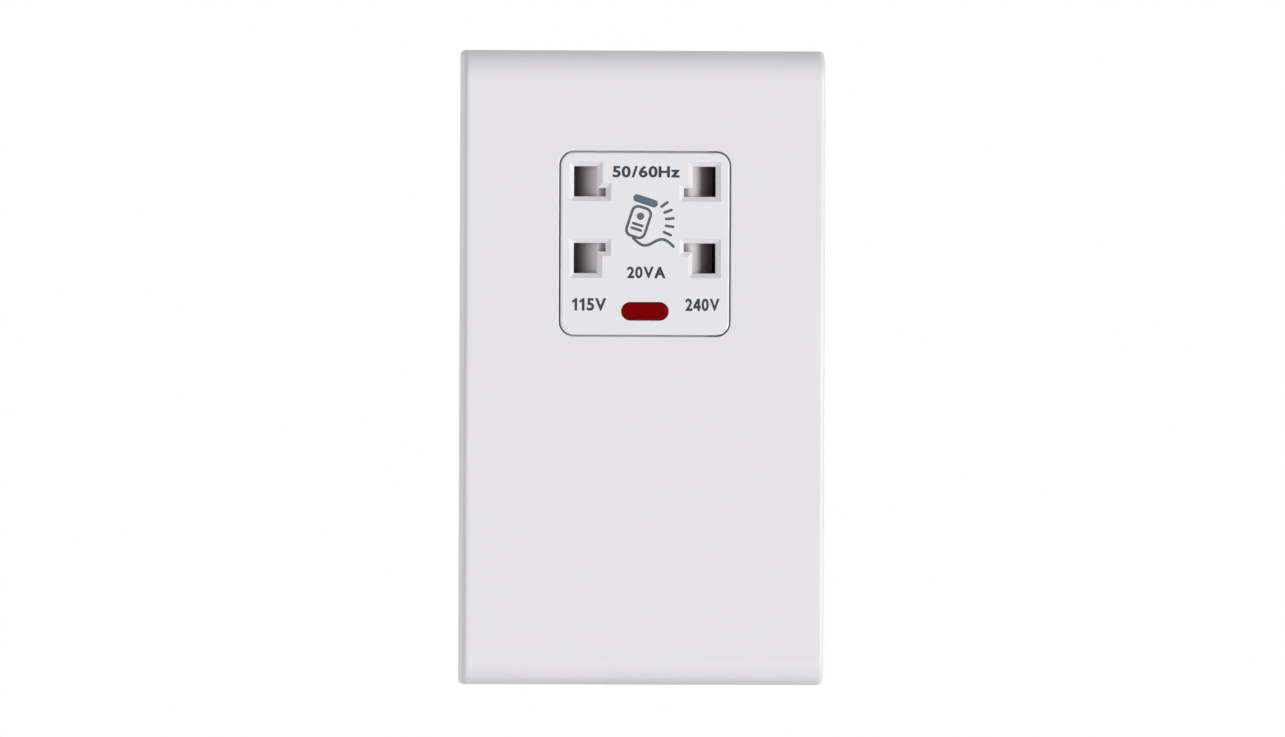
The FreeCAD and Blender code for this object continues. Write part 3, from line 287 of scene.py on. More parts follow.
@dataclass(frozen=True)
class Finish:
    """A surface finish: its colour, its gloss and the grain that breaks them up.

    Drift is the share of the colour that is left where the broad grain is lowest, and swing is how far
    the roughness goes up and down with it.
    """

    name: str
    colour: Colour
    roughness: float = 0.45
    swing: float = 0.06
    drift: float = 0.96
    metallic: float = 0.0
    specular: float = 0.5
    coat: float = 0.0
    coat_roughness: float = 0.08
    stretch: Place = (1.0, 1.0, 1.0)
    fine_scale: float = 1800.0
    broad_scale: float = 60.0
    bump: float = 0.12
    bump_depth: float = 0.02 * MM

    def material(self) -> bpy.types.Material:
        """Return the material of this finish, made the first time it is asked for.

        Returns:
            A node material on Object coordinates.
        """
        made = bpy.data.materials.get(self.name)
        if made is not None:
            return made
        made = bpy.data.materials.new(self.name)
        sheet = blank_sheet(made)
        surface = sheet.add("ShaderNodeBsdfPrincipled", {
            "Metallic": self.metallic, "Specular IOR Level": self.specular, "Coat Weight": self.coat,
            "Coat Roughness": self.coat_roughness})
        sheet.add("ShaderNodeOutputMaterial", {"Surface": surface.outputs[0]})
        place = sheet.out("ShaderNodeTexCoord", output="Object")
        grain = sheet.add("ShaderNodeGroup", {
            "Place": place, "Stretch": self.stretch, "Fine Scale": self.fine_scale,
            "Broad Scale": self.broad_scale}, node_tree=GRAIN.tree)
        drift = grain.outputs["Drift"]
        tone = sheet.cover(drift, scaled(self.colour, self.drift), scaled(self.colour))
        sheet.feed(surface.inputs["Base Color"], self.tinted(sheet, place, tone))
        gloss = sheet.out("ShaderNodeMapRange", {
            "Value": drift, "To Min": self.roughness + self.swing, "To Max": self.roughness - self.swing})
        sheet.feed(surface.inputs["Roughness"], gloss)
        relief = sheet.out("ShaderNodeBump", {"Strength": self.bump, "Distance": self.bump_depth,
                                              "Height": grain.outputs["Height"]})
        sheet.feed(surface.inputs["Normal"], relief)
        self.complete(surface)
        return made

    def tinted(self, sheet: NodeSheet, place: Socket, tone: Socket) -> Socket:
        """Return the colour socket, which plain finishes leave as it is."""
        return tone

    def complete(self, surface: bpy.types.Node) -> None:
        """Set what is special about the shader, which is nothing on plain finishes."""


@dataclass(frozen=True)
class SpeckledFinish(Finish):
    """A finish with small scattered spots of another colour."""

    speck: Colour = (0.5, 0.5, 0.5)
    density: float = 700.0
    size: float = 0.25
    share: float = 0.2

    def tinted(self, sheet: NodeSheet, place: Socket, tone: Socket) -> Socket:
        """Lay the spots over the tone.

        Args:
            sheet: the material's tree.
            place: object coordinates.
            tone: colour below the spots.

        Returns:
            The colour with its spots.
        """
        mask = sheet.out("ShaderNodeGroup", {"Place": place, "Density": self.density, "Size": self.size,
                                             "Share": self.share}, node_tree=SPECKS.tree)
        return sheet.cover(mask, tone, scaled(self.speck))


@dataclass(frozen=True)
class SheetStackFinish(SpeckledFinish):
    """Varnished steel sheets: each sheet of the stack has a tone of its own."""

    pitch: float = 0.5 * MM
    contrast: float = 0.55

    def tinted(self, sheet: NodeSheet, place: Socket, tone: Socket) -> Socket:
        """Darken each sheet by its own share, then lay the stains over it.

        Args:
            sheet: the material's tree.
            place: object coordinates.
            tone: colour of the bare sheets.

        Returns:
            The colour of the stack.
        """
        depth = sheet.out("ShaderNodeSeparateXYZ", {"Vector": place}, output="Y")
        counted = sheet.math("MULTIPLY", sheet.math("SNAP", depth, self.pitch), 1.0 / self.pitch)
        draw = sheet.out("ShaderNodeTexWhiteNoise", {"W": counted}, noise_dimensions="1D")
        share = sheet.out("ShaderNodeMapRange", {"Value": draw, "To Min": self.contrast, "To Max": 1.0})
        return super().tinted(sheet, place, sheet.cover(1.0, tone, share, blend="MULTIPLY"))


@dataclass(frozen=True)
class BandedFinish(Finish):
    """Lacquer with coloured rings round a body that lies along X."""

    bands: tuple[Colour, ...] = ()
    pitch: float = 0.95 * MM
    ring: float = 0.45 * MM
    first: float = -1.6 * MM

    def tinted(self, sheet: NodeSheet, place: Socket, tone: Socket) -> Socket:
        """Lay each ring over the lacquer.

        Args:
            sheet: the material's tree.
            place: object coordinates.
            tone: colour of the lacquer.

        Returns:
            The colour with its rings.
        """
        along = sheet.out("ShaderNodeSeparateXYZ", {"Vector": place}, output="X")
        for number, band in enumerate(self.bands):
            mask = sheet.math("COMPARE", along, self.first + self.pitch * number, self.ring / 2)
            tone = sheet.cover(mask, tone, scaled(band))
        return tone


@dataclass(frozen=True)
class RecessFinish(Finish):
    """A moulding at its own colour along its crest, with painted shade down the slope and in the notch
    beside it.

    Each side gives where its painted shade starts, where it is darkest, both from the middle, and its cover
    there.
    """

    # Colour of the painted shade that darkens the slope and the notch.
    painted_shade: Colour = shown(102, 91, 93)
    slope: tuple[float, float, float] = (11.0 * MM, 15.2 * MM, 1.0)
    notch: tuple[float, float, float] = (10.7 * MM, 9.7 * MM, 0.7)

    def tinted(self, sheet: NodeSheet, place: Socket, tone: Socket) -> Socket:
        """Paint shade on both sides of the crest.

        Args:
            sheet: the material's tree.
            place: object coordinates.
            tone: colour of the moulding without its painted shade.

        Returns:
            The colour with its painted shade.
        """
        along = sheet.out("ShaderNodeSeparateXYZ", {"Vector": place}, output="X")
        away = sheet.math("ABSOLUTE", along)
        # Each side's mask lays painted shade over the tone.
        for start, darkest, cover in (self.slope, self.notch):
            mask = sheet.out("ShaderNodeMapRange", {"Value": away, "From Min": start, "From Max": darkest,
                                                    "To Max": cover})
            tone = sheet.cover(mask, tone, scaled(self.painted_shade))
        return tone


@dataclass(frozen=True)
class GlassFinish(Finish):
    """Clear glass."""

    clear: float = 1.0
    bending: float = 1.47

    def complete(self, surface: bpy.types.Node) -> None:
        """Let light through the glass."""
        surface.inputs["Transmission Weight"].default_value = self.clear
        surface.inputs["IOR"].default_value = self.bending


PLATE_WHITE = SpeckledFinish(
    "plate moulding", shown(226, 224, 227), roughness=0.42, swing=0.03, drift=0.985, specular=0.4,
    fine_scale=2600.0, broad_scale=35.0, bump=0.06, speck=shown(214, 210, 212), density=160.0,
    size=0.06, share=0.25)
FACE_WHITE = SpeckledFinish(
    "face moulding", shown(228, 227, 230), roughness=0.38, swing=0.03, drift=0.985, specular=0.4,
    fine_scale=3200.0, broad_scale=60.0, bump=0.05, speck=shown(212, 210, 212), density=220.0,
    size=0.06, share=0.2)
# The shutters are darkened with painted shade towards their outer ends and in their notches.
SHUTTER_WHITE = RecessFinish(
    "shutter moulding", shown(206, 200, 203), roughness=0.5, drift=0.93, bump=0.1)
LENS_RED = Finish(
    "lens moulding", shown(124, 1, 3), roughness=0.16, swing=0.03, drift=0.86, specular=0.08,
    fine_scale=700.0, broad_scale=260.0, bump=0.05)
LAMP_GLASS = GlassFinish("lamp glass", (0.95, 0.90, 0.86), roughness=0.04, swing=0.02, bump=0.02)
RESISTOR = BandedFinish(
    "resistor lacquer", shown(206, 178, 132), roughness=0.3, coat=0.4,
    bands=(shown(96, 56, 30), shown(28, 26, 26), shown(226, 190, 46), shown(182, 142, 62)))
SPRING_STEEL = Finish(
    "spring steel", shown(168, 168, 172), roughness=0.28, metallic=1.0, drift=0.8,
    stretch=(0.2, 1.0, 1.0))
BRASS = SpeckledFinish(
    "contact brass", shown(214, 176, 98), roughness=0.3, swing=0.1, metallic=1.0, drift=0.82,
    stretch=(1.0, 0.06, 1.0), fine_scale=2400.0, broad_scale=160.0, bump=0.2,
    speck=shown(146, 104, 56), density=420.0, size=0.3, share=0.12)
CARRIER_BLACK = SpeckledFinish(
    "carrier moulding", shown(38, 36, 38), roughness=0.5, swing=0.08, drift=0.8, bump=0.22,
    speck=shown(66, 62, 62), density=1500.0, size=0.2, share=0.3)
ZINC = SpeckledFinish(
    "zinc plate", shown(196, 198, 196), roughness=0.3, swing=0.1, metallic=1.0, drift=0.8,
    fine_scale=3000.0, broad_scale=300.0, bump=0.2, speck=shown(150, 142, 116), density=600.0,
    size=0.3, share=0.1)
CHASSIS_GREY = SpeckledFinish(
    "chassis moulding", shown(176, 177, 180), roughness=0.5, swing=0.06, drift=0.93, bump=0.2,
    broad_scale=45.0, speck=shown(158, 158, 162), density=900.0, size=0.16, share=0.25)
CORE_STEEL = SheetStackFinish(
    "varnished steel", shown(120, 122, 130), roughness=0.42, swing=0.1, metallic=0.75, drift=0.75,
    stretch=(1.0, 0.3, 1.0), fine_scale=1500.0, broad_scale=120.0, bump=0.3, coat=0.2,
    speck=shown(122, 78, 40), density=260.0, size=0.32, share=0.16)
FORMER_IVORY = Finish("former moulding", shown(226, 220, 200), roughness=0.4, drift=0.93, bump=0.12)
COPPER = Finish(
    "enamelled copper", shown(176, 92, 48), roughness=0.24, swing=0.05, metallic=0.85, drift=0.72,
    stretch=(1.0, 0.15, 0.15), broad_scale=180.0, coat=0.5)
TAPE = Finish(
    "polyester tape", shown(222, 172, 52), roughness=0.18, swing=0.05, drift=0.88, coat=0.6,
    stretch=(0.3, 1.0, 1.0), broad_scale=110.0, bump=0.3, bump_depth=0.05 * MM)
CUTOUT_BLACK = Finish("cut-out case", shown(54, 52, 54), roughness=0.36, drift=0.85, bump=0.15)
BLOCK_GREY = Finish("block moulding", shown(214, 214, 210), roughness=0.42, drift=0.94, bump=0.12)
SOLDER = Finish("solder", shown(190, 192, 196), roughness=0.2, metallic=1.0, drift=0.75, bump=0.35)
# The markings' dark rim is painted shade along their edges.
RIM_SHADE = Finish("marking rim", shown(40, 47, 57), roughness=0.6, drift=0.9, specular=0.2)
FILL_INK = Finish("marking fill", shown(97, 108, 121), roughness=0.55, drift=0.93, specular=0.2)
LETTER_INK = Finish("lettering fill", shown(66, 74, 86), roughness=0.55, drift=0.93, specular=0.2)
LEADS = {
    "lead_live": Finish("brown insulation", shown(98, 58, 36), roughness=0.34, drift=0.88),
    "lead_neutral": Finish("blue insulation", shown(44, 84, 160), roughness=0.34, drift=0.88),
    "lead_115": Finish("white insulation", shown(222, 220, 214), roughness=0.34, drift=0.93),
    "lead_240": Finish("red insulation", shown(176, 34, 30), roughness=0.34, drift=0.88),
    "lead_common": Finish("black insulation", shown(36, 35, 37), roughness=0.34, drift=0.85),
}


def linked(name: str, data: bpy.types.ID) -> Piece:
    """Make an object and put it in the scene.

    Args:
        name: name of the object.
        data: the mesh, curve, text, light or camera that it shows.

    Returns:
        The object.
    """
    made = bpy.data.objects.new(name, data)
    bpy.context.scene.collection.objects.link(made)
    return made


def drawn(name: str, points: list[Place], edges: list[tuple[int, int]] | None = None,
          faces: list[tuple[int, ...]] | None = None) -> Mesh:
    """Make a mesh from its points.

    Args:
        name: name of the mesh.
        points: places of the points.
        edges: pairs of point numbers.
        faces: rings of point numbers.

    Returns:
        The mesh.
    """
    mesh = bpy.data.meshes.new(name)
    mesh.from_pydata(points, edges or [], faces or [])
    return mesh


def closed(mesh: Mesh) -> Mesh:
    """Merge a mesh's doubled points and turn its faces outwards.

    Args:
        mesh: the mesh, which is changed.

    Returns:
        The same mesh.
    """
    work = bmesh.new()
    work.from_mesh(mesh)
    bmesh.ops.remove_doubles(work, verts=work.verts, dist=MERGE)
    bmesh.ops.recalc_face_normals(work, faces=work.faces)
    work.to_mesh(mesh)
    work.free()
    return mesh


def baked(data: bpy.types.ID, prepare: Callable[[Piece], None] | None = None) -> Mesh:
    """Put data on a passing object and take its evaluated shape as a plain mesh.

    Args:
        data: a mesh, curve or text.
        prepare: called with the object before it is first evaluated.

    Returns:
        The evaluated mesh. The object is deleted.
    """
    holder = linked("holder", data)
    if prepare is not None:
        prepare(holder)
    graph = bpy.context.evaluated_depsgraph_get()
    mesh = bpy.data.meshes.new_from_object(holder.evaluated_get(graph))
    bpy.data.objects.remove(holder)
    return mesh


def reach(mesh: Mesh) -> tuple[Vector, Vector]:
    """Return the lowest and highest corner of a mesh."""
    rows = list(zip(*(vertex.co for vertex in mesh.vertices)))
    return Vector(map(min, rows)), Vector(map(max, rows))


def middle_of(part: str) -> Vector:
    """Return the middle of a part's box."""
    low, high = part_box(part)
    return (low + high) / 2


def joined(layers: list[Mesh]) -> Mesh:
    """Join meshes into one, each layer with a material number of its own.

    Args:
        layers: the meshes, in the order of their materials.

    Returns:
        The joined mesh.
    """
    work = bmesh.new()
    for number, layer in enumerate(layers):
        before = len(work.faces)
        work.from_mesh(layer)
        work.faces.ensure_lookup_table()
        for face in work.faces[before:]:
            face.material_index = number
    mesh = bpy.data.meshes.new("joined")
    work.to_mesh(mesh)
    work.free()
    return mesh


def round_box(width: float, height: float, corner: float) -> Loop:
    """Draw a rectangle with round corners about the origin.

    Args:
        width: side to side.
        height: top to bottom.
        corner: radius of the corners.

    Returns:
        The outline, anticlockwise.
    """
    loop = []
    for quarter, (right, up) in enumerate(((1, 1), (-1, 1), (-1, -1), (1, -1))):
        for step in range(ROUND_STEPS + 1):
            angle = math.pi / 2 * (quarter + step / ROUND_STEPS)
            loop.append((right * (width / 2 - corner) + corner * math.cos(angle),
                         up * (height / 2 - corner) + corner * math.sin(angle)))
    return loop


def disc(radius: float, steps: int = 20) -> Loop:
    """Draw a circle about the origin."""
    return [(radius * math.cos(math.tau * n / steps), radius * math.sin(math.tau * n / steps))
            for n in range(steps)]


def moved(loop: Loop, x: float, z: float, turn: float = 0.0) -> Loop:
    """Turn an outline about the origin, then move it.

    Args:
        loop: the outline.
        x: move to the right.
        z: move up.
        turn: anticlockwise turn in radians.

    Returns:
        The moved outline.
    """
    cos, sin = math.cos(turn), math.sin(turn)
    return [(px * cos - pz * sin + x, px * sin + pz * cos + z) for px, pz in loop]


def ribbon(path: Loop, weight: float) -> Loop:
    """Draw the outline of a stroke with round ends along a path.

    Args:
        path: points along the middle of the stroke.
        weight: width of the stroke.

    Returns:
        The closed outline.
    """
    left, right, angles = [], [], []
    for number, (x, z) in enumerate(path):
        before = path[max(number - 1, 0)]
        after = path[min(number + 1, len(path) - 1)]
        angle = math.atan2(after[1] - before[1], after[0] - before[0])
        across = (-math.sin(angle) * weight / 2, math.cos(angle) * weight / 2)
        left.append((x + across[0], z + across[1]))
        right.append((x - across[0], z - across[1]))
        angles.append(angle)
    loop = list(left)
    for (x, z), start, side in ((path[-1], angles[-1] + math.pi / 2, right[::-1]),
                                (path[0], angles[0] - math.pi / 2, [])):
        for step in range(1, ROUND_STEPS):
            angle = start - math.pi * step / ROUND_STEPS
            loop.append((x + math.cos(angle) * weight / 2, z + math.sin(angle) * weight / 2))
        loop.extend(side)
    return loop


def flat_shape(loops: list[Loop], thickness: float, swell: float = 0.0) -> Mesh:
    """Fill outlines drawn in X and Z, as a plate about the plane Y = 0.

    Args:
        loops: closed outlines, holes among them.
        thickness: front to back.
        swell: how far each edge is moved out.

    Returns:
        A closed mesh in the outlines' own unit.
    """
    curve = bpy.data.curves.new("outline", "CURVE")
    curve.dimensions = "2D"
    curve.fill_mode = "BOTH"
    curve.extrude = thickness / 2
    curve.offset = swell
    for loop in loops:
        spline = curve.splines.new("POLY")
        spline.points.add(len(loop) - 1)
        for point, (x, z) in zip(spline.points, loop):
            point.co = (x, z, 0.0, 1.0)
        spline.use_cyclic_u = True
    mesh = closed(baked(curve))
    mesh.transform(Matrix.Rotation(math.pi / 2, 4, "X"))
    return mesh


def word_shape(words: str, size: float, swell: float, thickness: float,
               facing: Facing = Facing.FRONT) -> Mesh:
    """Make words as an upright plate about the plane Y = 0.

    Args:
        words: the lettering.
        size: size of the type.
        swell: how far each stroke's edge is moved out.
        thickness: front to back.
        facing: the side that it is read from.

    Returns:
        A closed mesh in the type's own unit.
    """
    text = bpy.data.curves.new("lettering", "FONT")
    text.body = words
    text.size = size
    text.offset = swell
    text.extrude = thickness / 2
    text.resolution_u = ROUND_STEPS
    mesh = closed(baked(text))
    mesh.transform(Matrix.Rotation(facing.value, 4, "Z") @ Matrix.Rotation(math.pi / 2, 4, "X"))
    return mesh


@dataclass(frozen=True)
class Lettering:
    """A bold face: plain type, with figures one and four drawn as shares of the capital height."""

    size: float = 40.0
    swell: float = 1.35
    room: float = 0.125
    room_after_one: float = 0.21
    stem: float = 0.14
    one_stem: float = 0.23
    four_stem: float = 0.44
    four_width: float = 0.68
    four_bar: float = 0.22

    def figures(self, tall: float) -> dict[str, list[Loop]]:
        """Draw the two figures.

        Args:
            tall: capital height.

        Returns:
            The outlines of each figure.
        """
        left, right = self.one_stem, self.one_stem + self.stem
        one = [(left, 0.0), (right, 0.0), (right, 1.0), (0.25, 1.0), (0.13, 0.86), (0.0, 0.81),
               (0.0, 0.70), (left, 0.79)]
        left, right, width = self.four_stem, self.four_stem + self.stem, self.four_width
        low, high = self.four_bar, self.four_bar + self.stem
        four = [(left, 0.0), (right, 0.0), (right, low), (width, low), (width, high), (right, high),
                (right, 1.0), (0.40, 1.0), (0.0, high), (0.0, low), (left, low)]
        counter = [(left, high), (left, 0.80), (0.16, high)]
        shares = {"1": [one], "4": [four, counter]}
        return {figure: [[(x * tall, z * tall) for x, z in loop] for loop in loops]
                for figure, loops in shares.items()}

    def line(self, words: str, inset: float) -> Mesh:
        """Set a line of characters with even room between them.

        Args:
            words: the lettering.
            inset: how far every edge is drawn in.

        Returns:
            The line as one mesh, one unit thick, its characters starting at X = 0.
        """
        swell = self.swell - inset
        figures = self.figures(reach(word_shape("H", self.size, 0.0, 1.0))[1].z)
        shapes = []
        pen = 0.0
        for character in words:
            if character in figures:
                shape = flat_shape(figures[character], 1.0, swell)
            else:
                shape = word_shape(character, self.size, swell, 1.0)
            low, high = reach(shape)
            shape.transform(Matrix.Translation((pen - low.x - swell, 0.0, 0.0)))
            shapes.append(shape)
            room = self.room_after_one if character == "1" else self.room
            pen += high.x - low.x - swell * 2 + room * self.size
        return joined(shapes)


@dataclass(frozen=True)
class ShaverSymbol:
    """A leaning shaver with its cord and a fan of strokes, drawn in millimetres about its own middle."""

    weight: float = 0.6
    lean: float = math.radians(-18.0)
    body: tuple[float, float] = (5.0, 7.6)
    body_corner: float = 1.7
    body_place: tuple[float, float] = (-1.9, 0.1)
    head: tuple[float, float] = (5.8, 1.7)
    head_corner: float = 0.75
    head_lift: float = 1.35
    button_radius: float = 0.85
    button_level: float = 1.4
    bar_half: float = 1.1
    bar_levels: tuple[float, ...] = (-0.6, -1.7)
    stroke_count: int = 5
    stroke_start: float = math.radians(36.0)
    stroke_turn: float = math.radians(15.0)
    stroke_reach: tuple[float, float] = (5.9, 7.6)
    fan_place: tuple[float, float] = (-1.4, 0.2)
    cord_gap: float = 0.1
    cord_end: float = 6.2
    cord_drop: float = 1.9
    cord_wave: float = 1.15
    cord_steps: int = 24

    def leaning(self, loop: Loop, z: float = 0.0) -> Loop:
        """Place a loop at a level of the leaning shaver."""
        return moved(moved(loop, 0.0, z), *self.body_place, self.lean)

    def outlines(self) -> list[list[Loop]]:
        """Draw the symbol.

        Returns:
            The loops of each separate shape.
        """
        width, height = self.body
        outside = round_box(width, height, self.body_corner)
        inside = round_box(width - self.weight * 2, height - self.weight * 2, self.body_corner - self.weight)
        head = round_box(*self.head, self.head_corner)
        shapes = [[self.leaning(outside), self.leaning(inside)],
                  [self.leaning(head, height / 2 + self.head_lift)],
                  [self.leaning(disc(self.button_radius), self.button_level)]]
        bar = ribbon([(-self.bar_half, 0.0), (self.bar_half, 0.0)], self.weight)
        shapes += [[self.leaning(bar, level)] for level in self.bar_levels]
        for number in range(self.stroke_count):
            angle = self.stroke_start - self.stroke_turn * number
            stroke = [(math.cos(angle) * r, math.sin(angle) * r) for r in self.stroke_reach]
            shapes.append([moved(ribbon(stroke, self.weight), *self.fan_place)])
        shapes.append([ribbon(self.cord(), self.weight)])
        return shapes

    def cord(self) -> Loop:
        """Draw the middle of the cord, one wave from the foot of the shaver.

        Returns:
            Points along the cord.
        """
        start_x, start_z = self.leaning([(0.0, 0.0)], -self.body[1] / 2 - self.cord_gap)[0]
        path = []
        for step in range(self.cord_steps + 1):
            u = step / self.cord_steps
            wave = self.cord_wave * math.sin(math.tau * u)
            path.append((start_x + (self.cord_end - start_x) * u, start_z - self.cord_drop * u - wave))
        return path


class Pattern:
    """A Geometry Nodes tree that repeats a shape. Subclasses lay out the instances."""

    inputs: dict[str, str] = {}
    row_inputs = {"Count": "NodeSocketInt", "Start": "NodeSocketVector", "Pitch": "NodeSocketVector"}

    def __init__(self) -> None:
        """Build the tree, with its named inputs and its closing nodes."""
        self.tree = bpy.data.node_groups.new(type(self).__name__, "GeometryNodeTree")
        face = self.tree.interface
        face.new_socket("Geometry", in_out="OUTPUT", socket_type="NodeSocketGeometry")
        kinds = {"Geometry": "NodeSocketGeometry", **self.inputs, "Finish": "NodeSocketMaterial"}
        self.identifiers = {}
        for label, kind in kinds.items():
            made = face.new_socket(label, in_out="INPUT", socket_type=kind)
            self.identifiers[label] = made.identifier
        sheet = NodeSheet(self.tree)
        given = sheet.add("NodeGroupInput").outputs
        laid = self.lay(sheet, given)
        whole = sheet.out("GeometryNodeRealizeInstances", {"Geometry": laid})
        painted = sheet.out("GeometryNodeSetMaterial", {"Geometry": whole, "Material": given["Finish"]})
        sheet.add("NodeGroupOutput", {"Geometry": painted})

    def lay(self, sheet: NodeSheet, given: Given) -> Socket:
        """Lay out the instances.

        Args:
            sheet: the pattern's tree.
            given: the tree's inputs.

        Returns:
            The socket of the instances.
        """
        raise NotImplementedError

    def row(self, sheet: NodeSheet, given: Given) -> Socket:
        """Return points along a line, for a pattern that has the row inputs."""
        return sheet.out("GeometryNodeMeshLine", {"Count": given["Count"], "Start Location": given["Start"],
                                                  "Offset": given["Pitch"]}, mode="OFFSET")

    def grow(self, base: Mesh, finish: Finish, values: dict[str, object]) -> Mesh:
        """Run the pattern on a mesh.

        Args:
            base: the shape, path or points that the pattern works on.
            finish: what the result is made of.
            values: a value for each named input.

        Returns:
            A plain mesh with its faces outwards.
        """
        def prepare(holder: Piece) -> None:
            """Add the modifier and set its inputs by identifier.

            Args:
                holder: the object that the pattern runs on.
            """
            modifier = holder.modifiers.new("pattern", "NODES")
            modifier.node_group = self.tree
            for label, value in {**values, "Finish": finish.material()}.items():
                modifier[self.identifiers[label]] = value

        return closed(baked(base, prepare))


class SheetPattern(Pattern):
    """A stack of like sheets, each one turned end for end from the one below it."""

    inputs = {**Pattern.row_inputs, "Shift": "NodeSocketVector", "Seed": "NodeSocketInt"}

    def lay(self, sheet: NodeSheet, given: Given) -> Socket:
        """Stack the sheets along a line, with a small shift of each.

        Args:
            sheet: the pattern's tree.
            given: the tree's inputs.

        Returns:
            The socket of the stacked sheets.
        """
        odd = sheet.math("MODULO", sheet.out("GeometryNodeInputIndex"), 2.0)
        angle = sheet.math("MULTIPLY", odd, math.pi)
        turn = sheet.out("FunctionNodeAxisAngleToRotation", {"Axis": (0.0, 1.0, 0.0), "Angle": angle})
        stack = sheet.out("GeometryNodeInstanceOnPoints", {
            "Points": self.row(sheet, given), "Instance": given["Geometry"], "Rotation": turn})
        back = sheet.out("ShaderNodeVectorMath", {0: given["Shift"], 1: (-1.0, -1.0, -1.0)},
                         operation="MULTIPLY")
        slip = sheet.out("FunctionNodeRandomValue", {0: back, 1: given["Shift"], "Seed": given["Seed"]},
                         data_type="FLOAT_VECTOR")
        return sheet.out("GeometryNodeTranslateInstances", {
            "Instances": stack, "Translation": slip, "Local Space": False})


class TurnPattern(Pattern):
    """Turns of round wire side by side along a winding."""

    inputs = {**Pattern.row_inputs, "Wire Radius": "NodeSocketFloat"}
    wire_sides = 8

    def lay(self, sheet: NodeSheet, given: Given) -> Socket:
        """Sweep the wire round its path and repeat it along the winding.

        Args:
            sheet: the pattern's tree.
            given: the tree's inputs.

        Returns:
            The socket of the turns.
        """
        path = sheet.out("GeometryNodeMeshToCurve", {"Mesh": given["Geometry"]})
        section = sheet.out("GeometryNodeCurvePrimitiveCircle", {
            "Resolution": self.wire_sides, "Radius": given["Wire Radius"]})
        wire = sheet.out("GeometryNodeCurveToMesh", {"Curve": path, "Profile Curve": section})
        line = self.row(sheet, given)
        return sheet.out("GeometryNodeInstanceOnPoints", {"Points": line, "Instance": wire})


class SpotPattern(Pattern):
    """Beads or discs set on the points of a mesh, their axis along Y."""

    inputs = {"Radius": "NodeSocketFloat", "Depth": "NodeSocketFloat"}
    bead_rounds = 3
    disc_sides = 28

    def __init__(self, shape: SpotShape) -> None:
        """Choose what is set on each point, then build the tree."""
        self.shape = shape
        super().__init__()

    def lay(self, sheet: NodeSheet, given: Given) -> Socket:
        """Set one bead or disc on each point.

        Args:
            sheet: the pattern's tree.
            given: the tree's inputs.

        Returns:
            The socket of the spots.
        """
        if self.shape is SpotShape.BEAD:
            ball = sheet.out("GeometryNodeMeshIcoSphere", {
                "Radius": given["Radius"], "Subdivisions": self.bead_rounds})
            share = sheet.math("DIVIDE", given["Depth"], given["Radius"])
            size = sheet.out("ShaderNodeCombineXYZ", {"X": 1.0, "Y": share, "Z": 1.0})
            return sheet.out("GeometryNodeInstanceOnPoints", {
                "Points": given["Geometry"], "Instance": ball, "Scale": size})
        coin = sheet.out("GeometryNodeMeshCylinder", {
            "Vertices": self.disc_sides, "Radius": given["Radius"], "Depth": given["Depth"]})
        return sheet.out("GeometryNodeInstanceOnPoints", {
            "Points": given["Geometry"], "Instance": coin, "Rotation": (math.pi / 2, 0.0, 0.0)})


SHEETS = SheetPattern()
TURNS = TurnPattern()
BEADS = SpotPattern(SpotShape.BEAD)
DISCS = SpotPattern(SpotShape.DISC)


class Assembly:
    """A sub-assembly: its parts are dressed and its added pieces are built together."""

    looks: dict[str, Finish] = {}

    def build(self) -> list[Piece]:
        """Dress the parts, add the pieces and return them all."""
        return self.dress() + self.pieces()

    def dress(self) -> list[Piece]:
        """Give each part of the frame that the sub-assembly names its finish.

        Returns:
            The dressed parts.
        """
        parts = []
        for name, finish in self.looks.items():
            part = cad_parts[name]
            for slot in part.material_slots:
                slot.material = finish.material()
            parts.append(part)
        return parts

    def pieces(self) -> list[Piece]:
        """Return the added pieces, of which a plain sub-assembly has none."""
        return []

    def add(self, name: str, mesh: Mesh, finishes: list[Finish], slot: str,
            smooth: bool = False) -> Piece:
        """Add a piece that rides on the fixed body.

        Args:
            name: name of the piece.
            mesh: its shape, in place. Material numbers count only where it holds no material yet.
            finishes: its materials, in the order of the mesh's material numbers.
            slot: not used.
            smooth: whether its faces are shaded as one round surface.

        Returns:
            The piece.
        """
        mesh.name = name
        if mesh.materials:
            mesh.materials.clear()
        for finish in finishes:
            mesh.materials.append(finish.material())
        mesh.polygons.foreach_set("use_smooth", [smooth] * len(mesh.polygons))
        piece = linked(name, mesh)
        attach(piece, BASE)
        return piece


class FrontPlate(Assembly):
    """Clip-on cover with rolled top and bottom edges."""

    looks = {"front_plate": PLATE_WHITE}


class OutletFront(Assembly):
    """Outlet face with its lens, and the lamp and its resistor behind the lens."""

    looks = {"outlet_face": FACE_WHITE, "neon_lens": LENS_RED, "neon_lamp": LAMP_GLASS,
             "lamp_resistor": RESISTOR}


@dataclass(frozen=True)
class Marking:
    """One line of lettering: what it says, and its middle, width and capital height."""

    name: str
    words: str
    x: float
    z: float
    width: float
    capital: float


